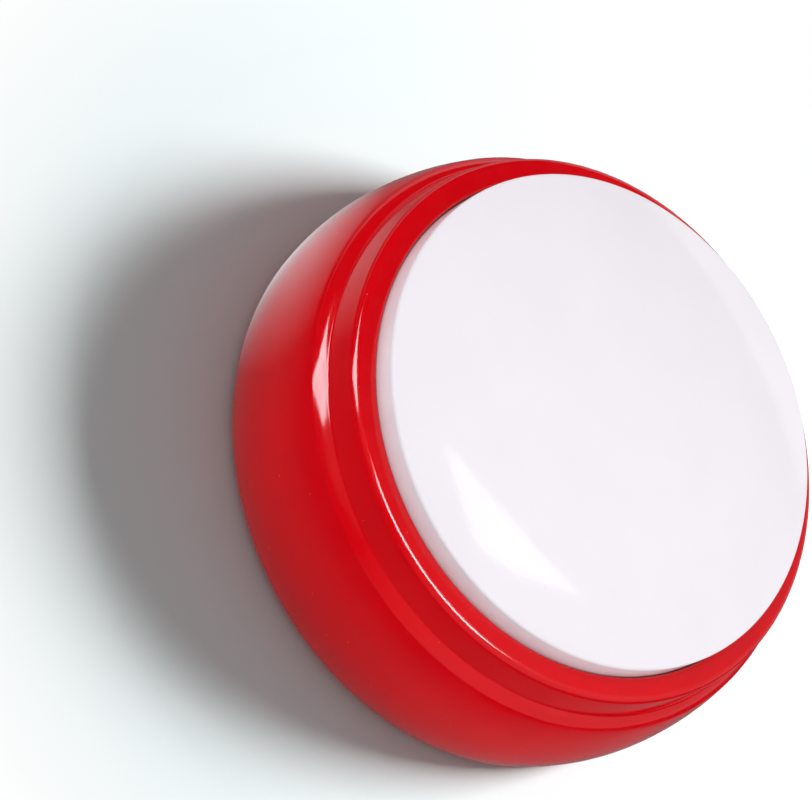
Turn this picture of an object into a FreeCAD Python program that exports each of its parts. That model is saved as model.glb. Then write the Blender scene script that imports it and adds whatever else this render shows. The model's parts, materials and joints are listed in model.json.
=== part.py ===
import FreeCAD, Part
import math
import os
import Sketcher
from FreeCAD import Placement, Rotation, Vector

# Talking clock: a round housing with one large push button, standing on its base.
# Z is up, the origin is on the table under the middle of the base, and sizes are in millimetres.
# The press button sinks into a well in the housing and works a switch on the circuit board.
# The base plate carries the speaker, the battery bay, the setting keys and the board.

SIZES = {
    # Outside of the housing, as radii and as heights above the underside of the base
    "foot_stand": 1.2,
    "bulge_radius": 55.2,
    "bulge_rise": 10.4,
    "base_tuck": 1.2,
    "base_chamfer": 0.8,
    "shoulder_arc": 54.0,
    "shoulder_turn": 14.0,
    "shoulder_round": 12.0,
    "shoulder_end": 40.0,
    "cove_round": 0.8,
    "rim_inset": 5.2,
    "rim_rise": 33.5,
    "rim_round": 0.7,
    "lip_width": 4.3,
    "lip_rise": 0.6,
    # Walls of the housing
    "wall": 2.0,
    "well_wall": 1.6,
    "deck_thickness": 2.0,
    "edge_land": 1.2,
    # Press button
    "button_gap": 0.5,
    "button_stand": 6.1,
    "crown_rise": 5.2,
    "crown_flat": 6.0,
    "ceiling_radius": 25.0,
    "ceiling_drop": 1.2,
    "button_round": 1.0,
    "button_wall": 2.4,
    "skirt_wall": 1.8,
    "skirt_drop": 3.7,
    "press_travel": 3.0,
    "press_stop_gap": 0.3,
    # Guide posts of the button, and the sleeves they run in
    "post_circle": 37.0,
    "post_radius": 2.5,
    "post_fit": 0.08,
    "post_into_cap": 0.9,
    "sleeve_wall": 1.6,
    "sleeve_length": 8.0,
    "sleeve_below": 3.0,
    "retain_gap": 0.1,
    # Plunger under the button, and the coil spring round it
    "plunger_half_width": 5.2,
    "plunger_blade": 1.6,
    "plunger_gap": 0.4,
    "spring_wire": 0.9,
    "spring_gap": 0.3,
    "spring_length": 10.0,
    "spring_turns": 4.0,
    "spring_seat_reach": 1.6,
    "spring_ring_rise": 1.5,
    "spring_ring_wall": 1.0,
    # Base plate and what holds it
    "plate_gap": 0.2,
    "plate_thickness": 2.4,
    "fastener_inset": 8.0,
    "boss_radius": 3.0,
    "boss_rib": 1.4,
    "screw_radius": 1.3,
    "screw_length": 8.0,
    "screw_head_radius": 2.7,
    "screw_head_height": 1.2,
    "screw_sink": 1.4,
    "screw_gap": 0.2,
    "thread_gap": 0.02,
    "foot_radius": 4.2,
    "foot_seat_gap": 0.1,
    "foot_seat_depth": 0.6,
    # Battery bay for two AAA cells
    "cell_radius": 5.25,
    "cell_length": 44.5,
    "cell_nub_radius": 1.9,
    "cell_nub_length": 1.0,
    "cell_gap": 0.5,
    "bay_y": -19.0,
    "bay_side_gap": 0.55,
    "bay_end_gap": 3.25,
    "bay_roof_gap": 0.5,
    "bay_floor_gap": 0.4,
    "bay_wall": 1.5,
    "ledge_width": 1.6,
    "door_thickness": 1.4,
    "door_gap": 0.25,
    "door_round": 2.0,
    "hinge_inset": 0.1,
    "hook_reach": 3.0,
    "hook_thickness": 1.2,
    "hook_width": 8.0,
    "hook_x": 14.0,
    "hook_tip_angle": 65.0,
    "hook_window_gap": 0.5,
    "hook_window_rise": 2.3,
    "latch_width": 8.0,
    "latch_thickness": 1.2,
    "latch_height": 2.3,
    "latch_gap": 0.4,
    "latch_nose": 0.8,
    "latch_nose_height": 1.0,
    "latch_window_rise": 2.5,
    "thumb_width": 12.0,
    "thumb_length": 4.0,
    "thumb_depth": 0.6,
    "thumb_edge": 2.5,
    # Battery contacts
    "contact_thickness": 0.4,
    "contact_width": 7.0,
    "contact_height": 9.0,
    "dimple_radius": 1.5,
    "dimple_rise": 0.8,
    "leaf_width": 5.0,
    "leaf_thickness": 0.3,
    "tag_width": 3.0,
    "tag_rise": 1.6,
    "tag_slot_gap": 0.1,
    # Speaker
    "speaker_y": 24.5,
    "speaker_radius": 18.0,
    "speaker_rim_width": 2.6,
    "speaker_rim_height": 0.8,
    "basket_rise": 4.2,
    "basket_wall": 0.6,
    "magnet_radius": 8.0,
    "magnet_height": 4.5,
    "voice_coil_radius": 5.0,
    "diaphragm_lift": 0.6,
    "diaphragm_thickness": 0.4,
    "diaphragm_step": 0.8,
    "speaker_seat_gap": 0.2,
    "speaker_seat_wall": 1.2,
    "grille_radius": 13.5,
    "grille_slots": 7,
    "slot_width": 2.0,
    "slot_pitch": 3.8,
    "slot_round": 0.9,
    # Circuit board and its stand-offs
    "board_length": 73.0,
    "board_width": 22.0,
    "board_thickness": 1.6,
    "board_x": -1.0,
    "board_y": 3.0,
    "board_lift": 12.6,
    "board_hole_inset": 3.0,
    "board_post_radius": 2.4,
    "board_pin_rise": 1.4,
    "small_screw_radius": 0.9,
    "small_screw_length": 5.0,
    "small_head_radius": 3.6,
    "small_head_height": 1.0,
    # Switches
    "switch_width": 6.0,
    "switch_height": 3.5,
    "switch_stem_width": 3.5,
    "switch_stem_rise": 1.5,
    "switch_stem_gap": 0.1,
    "switch_stem_root": 0.8,
    "switch_travel": 0.3,
    # Setting keys
    "key_row_y": 0.0,
    "key_first_x": -28.0,
    "key_pitch": 11.0,
    "key_length": 7.0,
    "key_width": 4.4,
    "key_round": 1.0,
    "key_gap": 0.2,
    "key_sink": 0.3,
    "key_flange_reach": 1.0,
    "key_flange_height": 1.0,
    "key_seat_gap": 0.05,
    "key_stem_width": 3.0,
    # Alarm slide switch and its knob
    "slide_x": 14.0,
    "slide_travel": 2.5,
    "slide_body_length": 9.0,
    "slide_body_width": 6.0,
    "slide_body_height": 4.0,
    "lever_width": 2.0,
    "lever_length": 4.0,
    "lever_root": 0.7,
    "lever_gap": 0.15,
    "knob_length": 5.0,
    "knob_width": 4.0,
    "knob_flange_reach": 1.0,
    "knob_post_width": 4.4,
    "knob_grip": 2.5,
    "knob_ridge_width": 0.6,
    "knob_ridge_pitch": 1.6,
    "knob_ridge_rise": 0.3,
    # Parts on top of the board
    "chip_x": 22.0,
    "chip_y": 4.0,
    "chip_radius": 4.6,
    "chip_rise": 1.2,
    "crystal_x": 10.0,
    "crystal_y": 8.0,
    "crystal_radius": 1.0,
    "crystal_length": 6.0,
    "capacitor_x": -22.0,
    "capacitor_y": 6.0,
    "capacitor_radius": 2.5,
    "capacitor_height": 6.5,
    # Wires
    "lead_width": 1.0,
    "speaker_lead_x": 3.5,
    "speaker_lead_bend": 3.0,
    "battery_lead_bend": 1.5,
    "battery_lead_run": 6.0,
}

doc = FreeCAD.newDocument("talking_clock")
dim = doc.addObject("Spreadsheet::Sheet", "dim")
for row, (alias, number) in enumerate(SIZES.items(), start=1):
    dim.set(f"A{row}", alias)
    dim.set(f"B{row}", str(number))
    dim.setAlias(f"B{row}", alias)
doc.recompute()

# Heights that several pieces share, from the table upwards
BASE_Z = "dim.foot_stand"
PLATE_TOP = f"({BASE_Z} + dim.plate_thickness)"
DOOR_TOP = f"({BASE_Z} + dim.door_thickness)"
BULGE_Z = f"({BASE_Z} + dim.bulge_rise)"
RIM_Z = f"({BASE_Z} + dim.rim_rise)"
SKIRT_Z = f"({RIM_Z} - dim.skirt_drop)"
DECK_TOP = f"({SKIRT_Z} - dim.press_travel - dim.press_stop_gap)"
DECK_BOTTOM = f"({DECK_TOP} - dim.deck_thickness)"
SLEEVE_BOTTOM = f"({DECK_BOTTOM} - dim.sleeve_below)"
POST_BOTTOM = f"({SLEEVE_BOTTOM} - dim.retain_gap)"
SPRING_TOP = f"({DECK_TOP} + dim.spring_length)"
CELL_Z = f"({DOOR_TOP} + dim.bay_floor_gap + dim.cell_radius)"
BAY_ROOF = f"({CELL_Z} + dim.cell_radius + dim.bay_roof_gap)"
BAY_TOP = f"({BAY_ROOF} + dim.bay_wall)"
BOARD_BOTTOM = f"({PLATE_TOP} + dim.board_lift)"
BOARD_TOP = f"({BOARD_BOTTOM} + dim.board_thickness)"
PRESS_STEM_TOP = f"({BOARD_TOP} + dim.switch_height + dim.switch_stem_rise)"
PLUNGER_Z = f"({PRESS_STEM_TOP} + dim.press_travel - dim.switch_travel + dim.retain_gap)"
KEY_STEM_TOP = f"({BOARD_BOTTOM} - dim.switch_height - dim.switch_stem_rise)"
BUTTON_EDGE_Z = f"({RIM_Z} + dim.button_stand)"
BUTTON_TOP = f"({BUTTON_EDGE_Z} + dim.crown_rise)"

# Radii that several pieces share
BASE_R = "(dim.bulge_radius - dim.base_tuck)"
SEAT_R = f"({BASE_R} - dim.edge_land)"
PLATE_R = f"({SEAT_R} - dim.plate_gap)"
RIM_R = "(dim.bulge_radius - dim.rim_inset)"
WELL_R = f"({RIM_R} - dim.lip_width)"
BUTTON_R = f"({WELL_R} - dim.button_gap)"
FASTENER_R = f"({BASE_R} - dim.fastener_inset)"
PILOT_R = "(dim.screw_radius + dim.thread_gap)"
SMALL_PILOT_R = "(dim.small_screw_radius + dim.thread_gap)"
HOLE_R = "(dim.plunger_half_width + dim.plunger_gap)"
SPRING_R = f"({HOLE_R} + dim.spring_gap + dim.spring_wire / 2)"

# The battery bay, the door that closes it and the door's hinge line, in plan
BAY_HALF_X = "(dim.cell_length / 2 + dim.bay_end_gap)"
BAY_HALF_Y = "(2 * dim.cell_radius + dim.cell_gap / 2 + dim.bay_side_gap)"
CELL_SHIFT = "(dim.cell_radius + dim.cell_gap / 2)"
BAY_FRONT = f"(dim.bay_y - {BAY_HALF_Y})"
BAY_BACK = f"(dim.bay_y + {BAY_HALF_Y})"
DOOR_SEAT_BACK = f"({BAY_BACK} + dim.ledge_width)"
HINGE_Y = f"({DOOR_SEAT_BACK} - dim.hinge_inset)"

TOUCH = 1e-4


def value(expression):
    """The number that an expression on the size sheet comes to."""
    return float(dim.evalExpression(str(expression)))


def new_body(name):
    made = doc.addObject("PartDesign::Body", name)
    made.Label = name
    return made


def sketch(body, name, role="XY_Plane", lift="0"):
    """A sketch on one of the body's own origin planes, lifted along the plane's normal."""
    made = body.newObject("Sketcher::SketchObject", name)
    plane = next(part for part in body.Origin.OriginFeatures if part.Role == role)
    made.AttachmentSupport = [(plane, "")]
    made.MapMode = "FlatFace"
    made.setExpression("AttachmentOffset.Base.z", str(lift))
    return made


def hold(drawing, kind, where, expression):
    """Adds one constraint whose size follows an expression on the size sheet."""
    index = drawing.addConstraint(Sketcher.Constraint(kind, *where, value(expression)))
    drawing.setExpression(f"Constraints[{index}]", str(expression))


def arc_between(start, end, radius, turn):
    """The arc of under half a circle from start to end, bending left for turn 1 and right for -1."""
    chord = end - start
    left = Vector(-chord.y, chord.x, 0).normalize()
    rise = math.sqrt(max(radius * radius - chord.Length * chord.Length / 4, 0))
    centre = (start + end) * 0.5 + left * (rise * turn)
    first, last = (start, end) if turn > 0 else (end, start)
    low = math.atan2(first.y - centre.y, first.x - centre.x)
    high = math.atan2(last.y - centre.y, last.x - centre.x)
    if high < low:
        high += 2 * math.pi
    return Part.ArcOfCircle(Part.Circle(centre, Vector(0, 0, 1), radius), low, high)


def outline(drawing, corners):
    """Draws a closed outline.

    A corner is (x, y), reached by a line, or (x, y, radius, turn), reached by an arc.
    """
    first = drawing.GeometryCount
    count = len(corners)
    spots = [Vector(value(corner[0]), value(corner[1]), 0) for corner in corners]
    ends = []
    for i, corner in enumerate(corners):
        if len(corner) == 2:
            drawing.addGeometry(Part.LineSegment(spots[i - 1], spots[i]))
            ends.append((1, 2))
        else:
            drawing.addGeometry(arc_between(spots[i - 1], spots[i], value(corner[2]), corner[3]))
            ends.append((1, 2) if corner[3] > 0 else (2, 1))
    for i in range(count):
        after = (i + 1) % count
        joined = (first + i, ends[i][1], first + after, ends[after][0])
        drawing.addConstraint(Sketcher.Constraint("Coincident", *joined))
    for i, corner in enumerate(corners):
        hold(drawing, "DistanceX", (-1, 1, first + i, ends[i][1]), corner[0])
        hold(drawing, "DistanceY", (-1, 1, first + i, ends[i][1]), corner[1])
        if len(corner) > 2:
            hold(drawing, "Radius", (first + i,), corner[2])


def rectangle(drawing, x0, y0, x1, y1):
    outline(drawing, [(x0, y0), (x1, y0), (x1, y1), (x0, y1)])


def rounded(drawing, x0, y0, x1, y1, radius):
    """A rectangle from the low corner to the high one, with its corners rounded."""
    xa, xb = f"({x0} + {radius})", f"({x1} - {radius})"
    ya, yb = f"({y0} + {radius})", f"({y1} - {radius})"
    outline(drawing, [(xb, y0), (x1, ya, radius, 1), (x1, yb), (xb, y1, radius, 1), (xa, y1),
                      (x0, yb, radius, 1), (x0, ya), (xa, y0, radius, 1)])


def centred(x, y, length, width):
    """The four sides of a rectangle about its middle."""
    return f"({x} - {length} / 2)", f"({y} - {width} / 2)", f"({x} + {length} / 2)", f"({y} + {width} / 2)"


def circle(drawing, x, y, radius):
    spot = Vector(value(x), value(y), 0)
    index = drawing.addGeometry(Part.Circle(spot, Vector(0, 0, 1), value(radius)))
    hold(drawing, "DistanceX", (-1, 1, index, 3), x)
    hold(drawing, "DistanceY", (-1, 1, index, 3), y)
    hold(drawing, "Radius", (index,), radius)


def settle(body, feature, before, sign):
    """Recomputes, and stops if a feature that adds or cuts material changed nothing."""
    doc.recompute()
    change = (feature.Shape.Volume - before) * sign
    if change < TOUCH:
        raise RuntimeError(f"{feature.Label} on {body.Label} changed nothing")
    return feature


def solid_volume(body):
    return body.Shape.Volume if body.Tip is not None and not body.Shape.isNull() else 0.0


def revolve(body, name, drawing):
    made = body.newObject("PartDesign::Revolution", name)
    made.Profile = drawing
    made.ReferenceAxis = (drawing, ["V_Axis"])
    made.Angle = 360
    return settle(body, made, 0.0, 1)


def pad(body, name, drawing, height, midplane=False):
    before = solid_volume(body)
    made = body.newObject("PartDesign::Pad", name)
    made.Profile = drawing
    made.Midplane = midplane
    made.setExpression("Length", str(height))
    return settle(body, made, before, 1)


def pocket(body, name, drawing, depth, upwards=False):
    before = solid_volume(body)
    made = body.newObject("PartDesign::Pocket", name)
    made.Profile = drawing
    made.Reversed = upwards
    made.setExpression("Length", str(depth))
    return settle(body, made, before, -1)


def around(body, name, features, count):
    """Repeats features evenly about the body's own Z axis."""
    before = body.Shape.Volume
    made = body.newObject("PartDesign::PolarPattern", name)
    made.Originals = features
    made.Axis = (next(part for part in body.Origin.OriginFeatures if part.Role == "Z_Axis"), [""])
    made.Angle = 360
    made.Occurrences = count
    body.Tip = made
    doc.recompute()
    if abs(made.Shape.Volume - before) < TOUCH:
        raise RuntimeError(f"{name} on {body.Label} repeated nothing")
    return made


def primitive(kind, name, sizes, x="0", y="0", z="0"):
    """A Part primitive whose sizes and place follow expressions on the size sheet."""
    made = doc.addObject(f"Part::{kind}", name)
    for prop, expression in sizes.items():
        made.setExpression(prop, str(expression))
    place(made, x, y, z)
    return made


def place(piece, x="0", y="0", z="0"):
    for axis, expression in zip("xyz", (x, y, z)):
        piece.setExpression(f"Placement.Base.{axis}", str(expression))


def cylinder(name, radius, height, x="0", y="0", z="0"):
    return primitive("Cylinder", name, {"Radius": radius, "Height": height}, x, y, z)


def block(name, length, width, height, x, y, z):
    """A box about (x, y) in plan that stands on z."""
    sizes = {"Length": length, "Width": width, "Height": height}
    return primitive("Box", name, sizes, f"{x} - ({length}) / 2", f"{y} - ({width}) / 2", z)


def fuse(name, parts):
    made = doc.addObject("Part::MultiFuse", name)
    made.Shapes = parts
    made.Label = name
    doc.recompute()
    return made


def cut(name, base, tool):
    made = doc.addObject("Part::Cut", name)
    made.Base = base
    made.Tool = tool
    made.Label = name
    doc.recompute()
    return made


def group(name, parts):
    """Several loose solids of one kind, kept as one node."""
    made = doc.addObject("Part::Compound", name)
    made.Links = parts
    made.Label = name
    doc.recompute()
    return made


def polar(radius, angle):
    return f"({radius}) * cos({angle})", f"({radius}) * sin({angle})"


# Upper housing: bulging wall, collar, button well, deck, guide sleeves and screw bosses

def bevels(centre, radius, start, end, steps):
    """Corners on a round between two angles, joined by straight bevels."""
    turns = [f"({start} + ({end} - {start}) * {step} / {steps})" for step in range(steps + 1)]
    x, y = centre
    return [(f"({x} + {radius} * cos({turn}))", f"({y} + {radius} * sin({turn}))") for turn in turns]


def shoulder_point(radius, angle):
    """A point at one radius and angle from the centre of the shoulder's round."""
    reach = "(dim.shoulder_arc - dim.shoulder_round)"
    centre_r = f"(dim.bulge_radius - dim.shoulder_arc + {reach} * cos(dim.shoulder_turn))"
    centre_z = f"({BULGE_Z} + {reach} * sin(dim.shoulder_turn))"
    return f"({centre_r} + {radius} * cos({angle}))", f"({centre_z} + {radius} * sin({angle}))"


def collar_outline():
    """The outside of the housing above its bulge: shoulder, round, cove, leaning collar, rim and lip."""
    shoulder_centre = shoulder_point("0", "0")
    shoulder_round = bevels(shoulder_centre, "dim.shoulder_round", "dim.shoulder_turn", "dim.shoulder_end", 2)
    cove_r, cove_z = shoulder_point("(dim.shoulder_round + dim.cove_round)", "dim.shoulder_end")
    across, up = f"({cove_r} - {RIM_R})", f"({RIM_Z} - {cove_z})"
    lean = f"(atan({across} / {up}) - asin(dim.cove_round / sqrt({across} ^ 2 + {up} ^ 2)))"
    slope = "atan(dim.lip_rise / dim.lip_width)"
    setback = f"(dim.rim_round * tan((90 deg - {lean} - {slope}) / 2))"
    rim_centre_r = f"({RIM_R} + {setback} * sin({lean}) - dim.rim_round * cos({lean}))"
    rim_centre_z = f"({RIM_Z} - {setback} * cos({lean}) - dim.rim_round * sin({lean}))"
    return [
        (*shoulder_round[0], "dim.shoulder_arc", 1),
        *shoulder_round[1:],
        (f"{cove_r} - dim.cove_round * cos({lean})", f"{cove_z} - dim.cove_round * sin({lean})"),
        *bevels((rim_centre_r, rim_centre_z), "dim.rim_round", lean, f"(90 deg - {slope})", 2),
        (WELL_R, f"{RIM_Z} + dim.lip_rise"),
    ]


def upper_housing():
    body = new_body("upper_housing")
    shoulder_r, shoulder_z = shoulder_point("dim.shoulder_round", "dim.shoulder_turn")
    cove_r, cove_z = shoulder_point("(dim.shoulder_round + dim.cove_round)", "dim.shoulder_end")
    flank_rise = "(dim.bulge_rise - dim.base_chamfer)"
    flank_arc = f"(({flank_rise} ^ 2 + dim.base_tuck ^ 2) / (2 * dim.base_tuck))"
    well_back_r = f"({WELL_R} + dim.well_wall)"
    ring_r = f"({SPRING_R} + dim.spring_wire / 2 + dim.spring_gap)"
    ring_out_r = f"({ring_r} + dim.spring_ring_wall)"
    ring_z = f"({DECK_TOP} + dim.spring_ring_rise)"
    profile = sketch(body, "housing_profile", "XZ_Plane")
    outline(profile, [
        (SEAT_R, BASE_Z),
        (f"{BASE_R} - dim.base_chamfer", BASE_Z),
        (BASE_R, f"{BASE_Z} + dim.base_chamfer"),
        ("dim.bulge_radius", BULGE_Z, flank_arc, 1),
        *collar_outline(),
        (WELL_R, DECK_TOP),
        (ring_out_r, DECK_TOP),
        (ring_out_r, ring_z),
        (ring_r, ring_z),
        (ring_r, DECK_TOP),
        (HOLE_R, DECK_TOP),
        (HOLE_R, DECK_BOTTOM),
        (well_back_r, DECK_BOTTOM),
        (well_back_r, f"{RIM_Z} - dim.wall"),
        (f"{cove_r} - dim.wall", f"{cove_z} - dim.wall"),
        (f"{shoulder_r} - dim.wall", f"{shoulder_z} - dim.wall / 2"),
        ("dim.bulge_radius - dim.wall", BULGE_Z),
        (f"{BASE_R} - dim.wall", PLATE_TOP),
        (SEAT_R, PLATE_TOP),
    ])
    revolve(body, "housing_wall", profile)

    boss_x, boss_y = polar(FASTENER_R, 45)
    boss_rise = f"{DECK_BOTTOM} + dim.deck_thickness / 2 - {PLATE_TOP}"
    boss_plan = sketch(body, "boss_plan", lift=PLATE_TOP)
    circle(boss_plan, boss_x, boss_y, "dim.boss_radius")
    boss = pad(body, "screw_boss", boss_plan, boss_rise)
    rib_plan = sketch(body, "boss_rib_plan", lift=PLATE_TOP)
    near, far = f"({FASTENER_R})", "(dim.bulge_radius - dim.wall * 3 / 4)"
    half = "(dim.boss_rib / 2)"
    outline(rib_plan, [
        (f"({near} + {half}) * cos(45)", f"({near} - {half}) * sin(45)"),
        (f"({far} + {half}) * cos(45)", f"({far} - {half}) * sin(45)"),
        (f"({far} - {half}) * cos(45)", f"({far} + {half}) * sin(45)"),
        (f"({near} - {half}) * cos(45)", f"({near} + {half}) * sin(45)"),
    ])
    rib = pad(body, "boss_rib", rib_plan, f"{BULGE_Z} - {PLATE_TOP}")
    pilot_plan = sketch(body, "pilot_plan", lift=PLATE_TOP)
    circle(pilot_plan, boss_x, boss_y, PILOT_R)
    pilot = pocket(body, "screw_pilot", pilot_plan, "dim.screw_length", upwards=True)
    around(body, "screw_bosses", [boss, rib, pilot], 4)

    sleeve_plan = sketch(body, "sleeve_plan", lift=SLEEVE_BOTTOM)
    circle(sleeve_plan, "0", "dim.post_circle", "dim.post_radius + dim.post_fit + dim.sleeve_wall")
    sleeve = pad(body, "guide_sleeve", sleeve_plan, "dim.sleeve_length")
    bore_plan = sketch(body, "sleeve_bore_plan", lift=SLEEVE_BOTTOM)
    circle(bore_plan, "0", "dim.post_circle", "dim.post_radius + dim.post_fit")
    bore = pocket(body, "sleeve_bore", bore_plan, "dim.sleeve_length", upwards=True)
    around(body, "guide_sleeves", [sleeve, bore], 3)
    return body


# Press button: domed cap with its skirt, guide posts and cross-shaped plunger

def button_cap():
    body = new_body("button_cap")
    crown_arc = f"(({BUTTON_R} ^ 2 + dim.crown_rise ^ 2) / (2 * dim.crown_rise))"
    crown_z = f"({BUTTON_TOP} - {crown_arc})"
    round_r = f"({BUTTON_R} - dim.button_round)"
    round_z = f"({crown_z} + sqrt(({crown_arc} - dim.button_round) ^ 2 - {round_r} ^ 2))"
    edge_turn = f"acos({round_r} / ({crown_arc} - dim.button_round))"
    edge = bevels((round_r, round_z), "dim.button_round", "0 deg", edge_turn, 2)
    flat_turn = f"acos(dim.crown_flat / {crown_arc})"
    crown = bevels(("0", crown_z), crown_arc, edge_turn, flat_turn, 4)[1:-1]
    inside_r = f"({BUTTON_R} - dim.skirt_wall)"
    ceiling_z = f"({BUTTON_TOP} - dim.button_wall - dim.ceiling_drop)"
    profile = sketch(body, "cap_profile", "XZ_Plane")
    outline(profile, [
        (BUTTON_R, SKIRT_Z),
        *edge,
        *crown,
        ("dim.crown_flat", BUTTON_TOP),
        ("0", BUTTON_TOP),
        ("0", ceiling_z),
        ("dim.ceiling_radius", ceiling_z),
        (inside_r, f"{BUTTON_EDGE_Z} - dim.button_wall"),
        (inside_r, SKIRT_Z),
    ])
    revolve(body, "cap_dome", profile)

    ceiling = f"({BUTTON_TOP} - dim.button_wall / 2)"
    seat_half = f"({SPRING_R} + dim.spring_wire / 2 + dim.spring_seat_reach)"
    thin = "(dim.plunger_blade / 2)"
    crosses = (("plunger", PLUNGER_Z, "dim.plunger_half_width"), ("spring_seat", SPRING_TOP, seat_half))
    for name, lift, half in crosses:
        for side, length, width in (("x", half, thin), ("y", thin, half)):
            plan = sketch(body, f"{name}_plan_{side}", lift=lift)
            rectangle(plan, f"-({length})", f"-({width})", f"({length})", f"({width})")
            pad(body, f"{name}_blade_{side}", plan, f"{ceiling} - {lift}")

    post_top = f"({BUTTON_EDGE_Z} + dim.post_into_cap)"
    post_plan = sketch(body, "post_plan", lift=POST_BOTTOM)
    circle(post_plan, "0", "dim.post_circle", "dim.post_radius")
    post = pad(body, "guide_post", post_plan, f"{post_top} - {POST_BOTTOM}")
    pilot_plan = sketch(body, "post_pilot_plan", lift=POST_BOTTOM)
    circle(pilot_plan, "0", "dim.post_circle", SMALL_PILOT_R)
    pilot = pocket(body, "post_pilot", pilot_plan, "dim.small_screw_length", upwards=True)
    around(body, "guide_posts", [post, pilot], 3)
    return body


def screw(name, radius, length, head_radius, head_height, x, y, z, upwards=True):
    """A plain screw whose head meets its seat at z; the shank goes up from there, or down."""
    shank_z = z if upwards else f"{z} - {length}"
    head_z = f"{z} - {head_height}" if upwards else z
    shank = cylinder(f"{name}_shank", radius, length, x, y, shank_z)
    head = cylinder(f"{name}_head", head_radius, head_height, x, y, head_z)
    return fuse(name, [head, shank])


def small_screw(name, x, y, z, upwards=True):
    return screw(name, "dim.small_screw_radius", "dim.small_screw_length", "dim.small_head_radius",
                 "dim.small_head_height", x, y, z, upwards)


def cap_screws():
    """Flanged screws in the ends of the guide posts; their heads stop the button under the sleeves."""
    made = []
    for turn in (90, 210, 330):
        made.append(small_screw(f"cap_screw_{turn}", *polar("dim.post_circle", turn), POST_BOTTOM))
    return group("cap_screws", made)


def button_spring():
    """Coil spring between the deck and the shoulders of the plunger."""
    rise = "(dim.spring_length - dim.spring_wire)"
    path = doc.addObject("Part::Helix", "spring_path")
    path.setExpression("Radius", SPRING_R)
    path.setExpression("Height", rise)
    path.setExpression("Pitch", f"{rise} / dim.spring_turns")
    wire = doc.addObject("Part::RegularPolygon", "spring_wire")
    wire.Polygon = 4
    wire.setExpression("Circumradius", "dim.spring_wire / 2")
    wire.Placement = Placement(Vector(0, 0, 0), Rotation(Vector(1, 0, 0), 90))
    wire.setExpression("Placement.Base.x", SPRING_R)
    doc.recompute()
    coil = doc.addObject("Part::Sweep", "button_spring")
    coil.Sections = [wire]
    coil.Spine = (path, ["Edge1"])
    coil.Solid = True
    coil.Frenet = True
    coil.Label = "button_spring"
    place(coil, z=f"{DECK_TOP} + dim.spring_wire / 2")
    doc.recompute()
    return coil


# Base plate: closes the housing and carries the battery bay, speaker seat, board posts and key windows

KEYS = ["mode_key", "hour_key", "minute_key"]


def key_x(index):
    return f"(dim.key_first_x + {index} * dim.key_pitch)"


def board_corner(side_x, side_y):
    """Centre of one of the board's four holes."""
    return (f"(dim.board_x + {side_x} * (dim.board_length / 2 - dim.board_hole_inset))",
            f"(dim.board_y + {side_y} * (dim.board_width / 2 - dim.board_hole_inset))")


BOARD_SCREWED = [(-1, -1), (1, 1)]
BOARD_PINNED = [(1, -1), (-1, 1)]


def knob_slot():
    """Sides of the slot that the alarm knob slides in."""
    length = "(dim.knob_length + dim.slide_travel + 2 * dim.key_gap)"
    return centred("dim.slide_x", "dim.key_row_y", length, "(dim.knob_width + 2 * dim.key_gap)")


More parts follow.
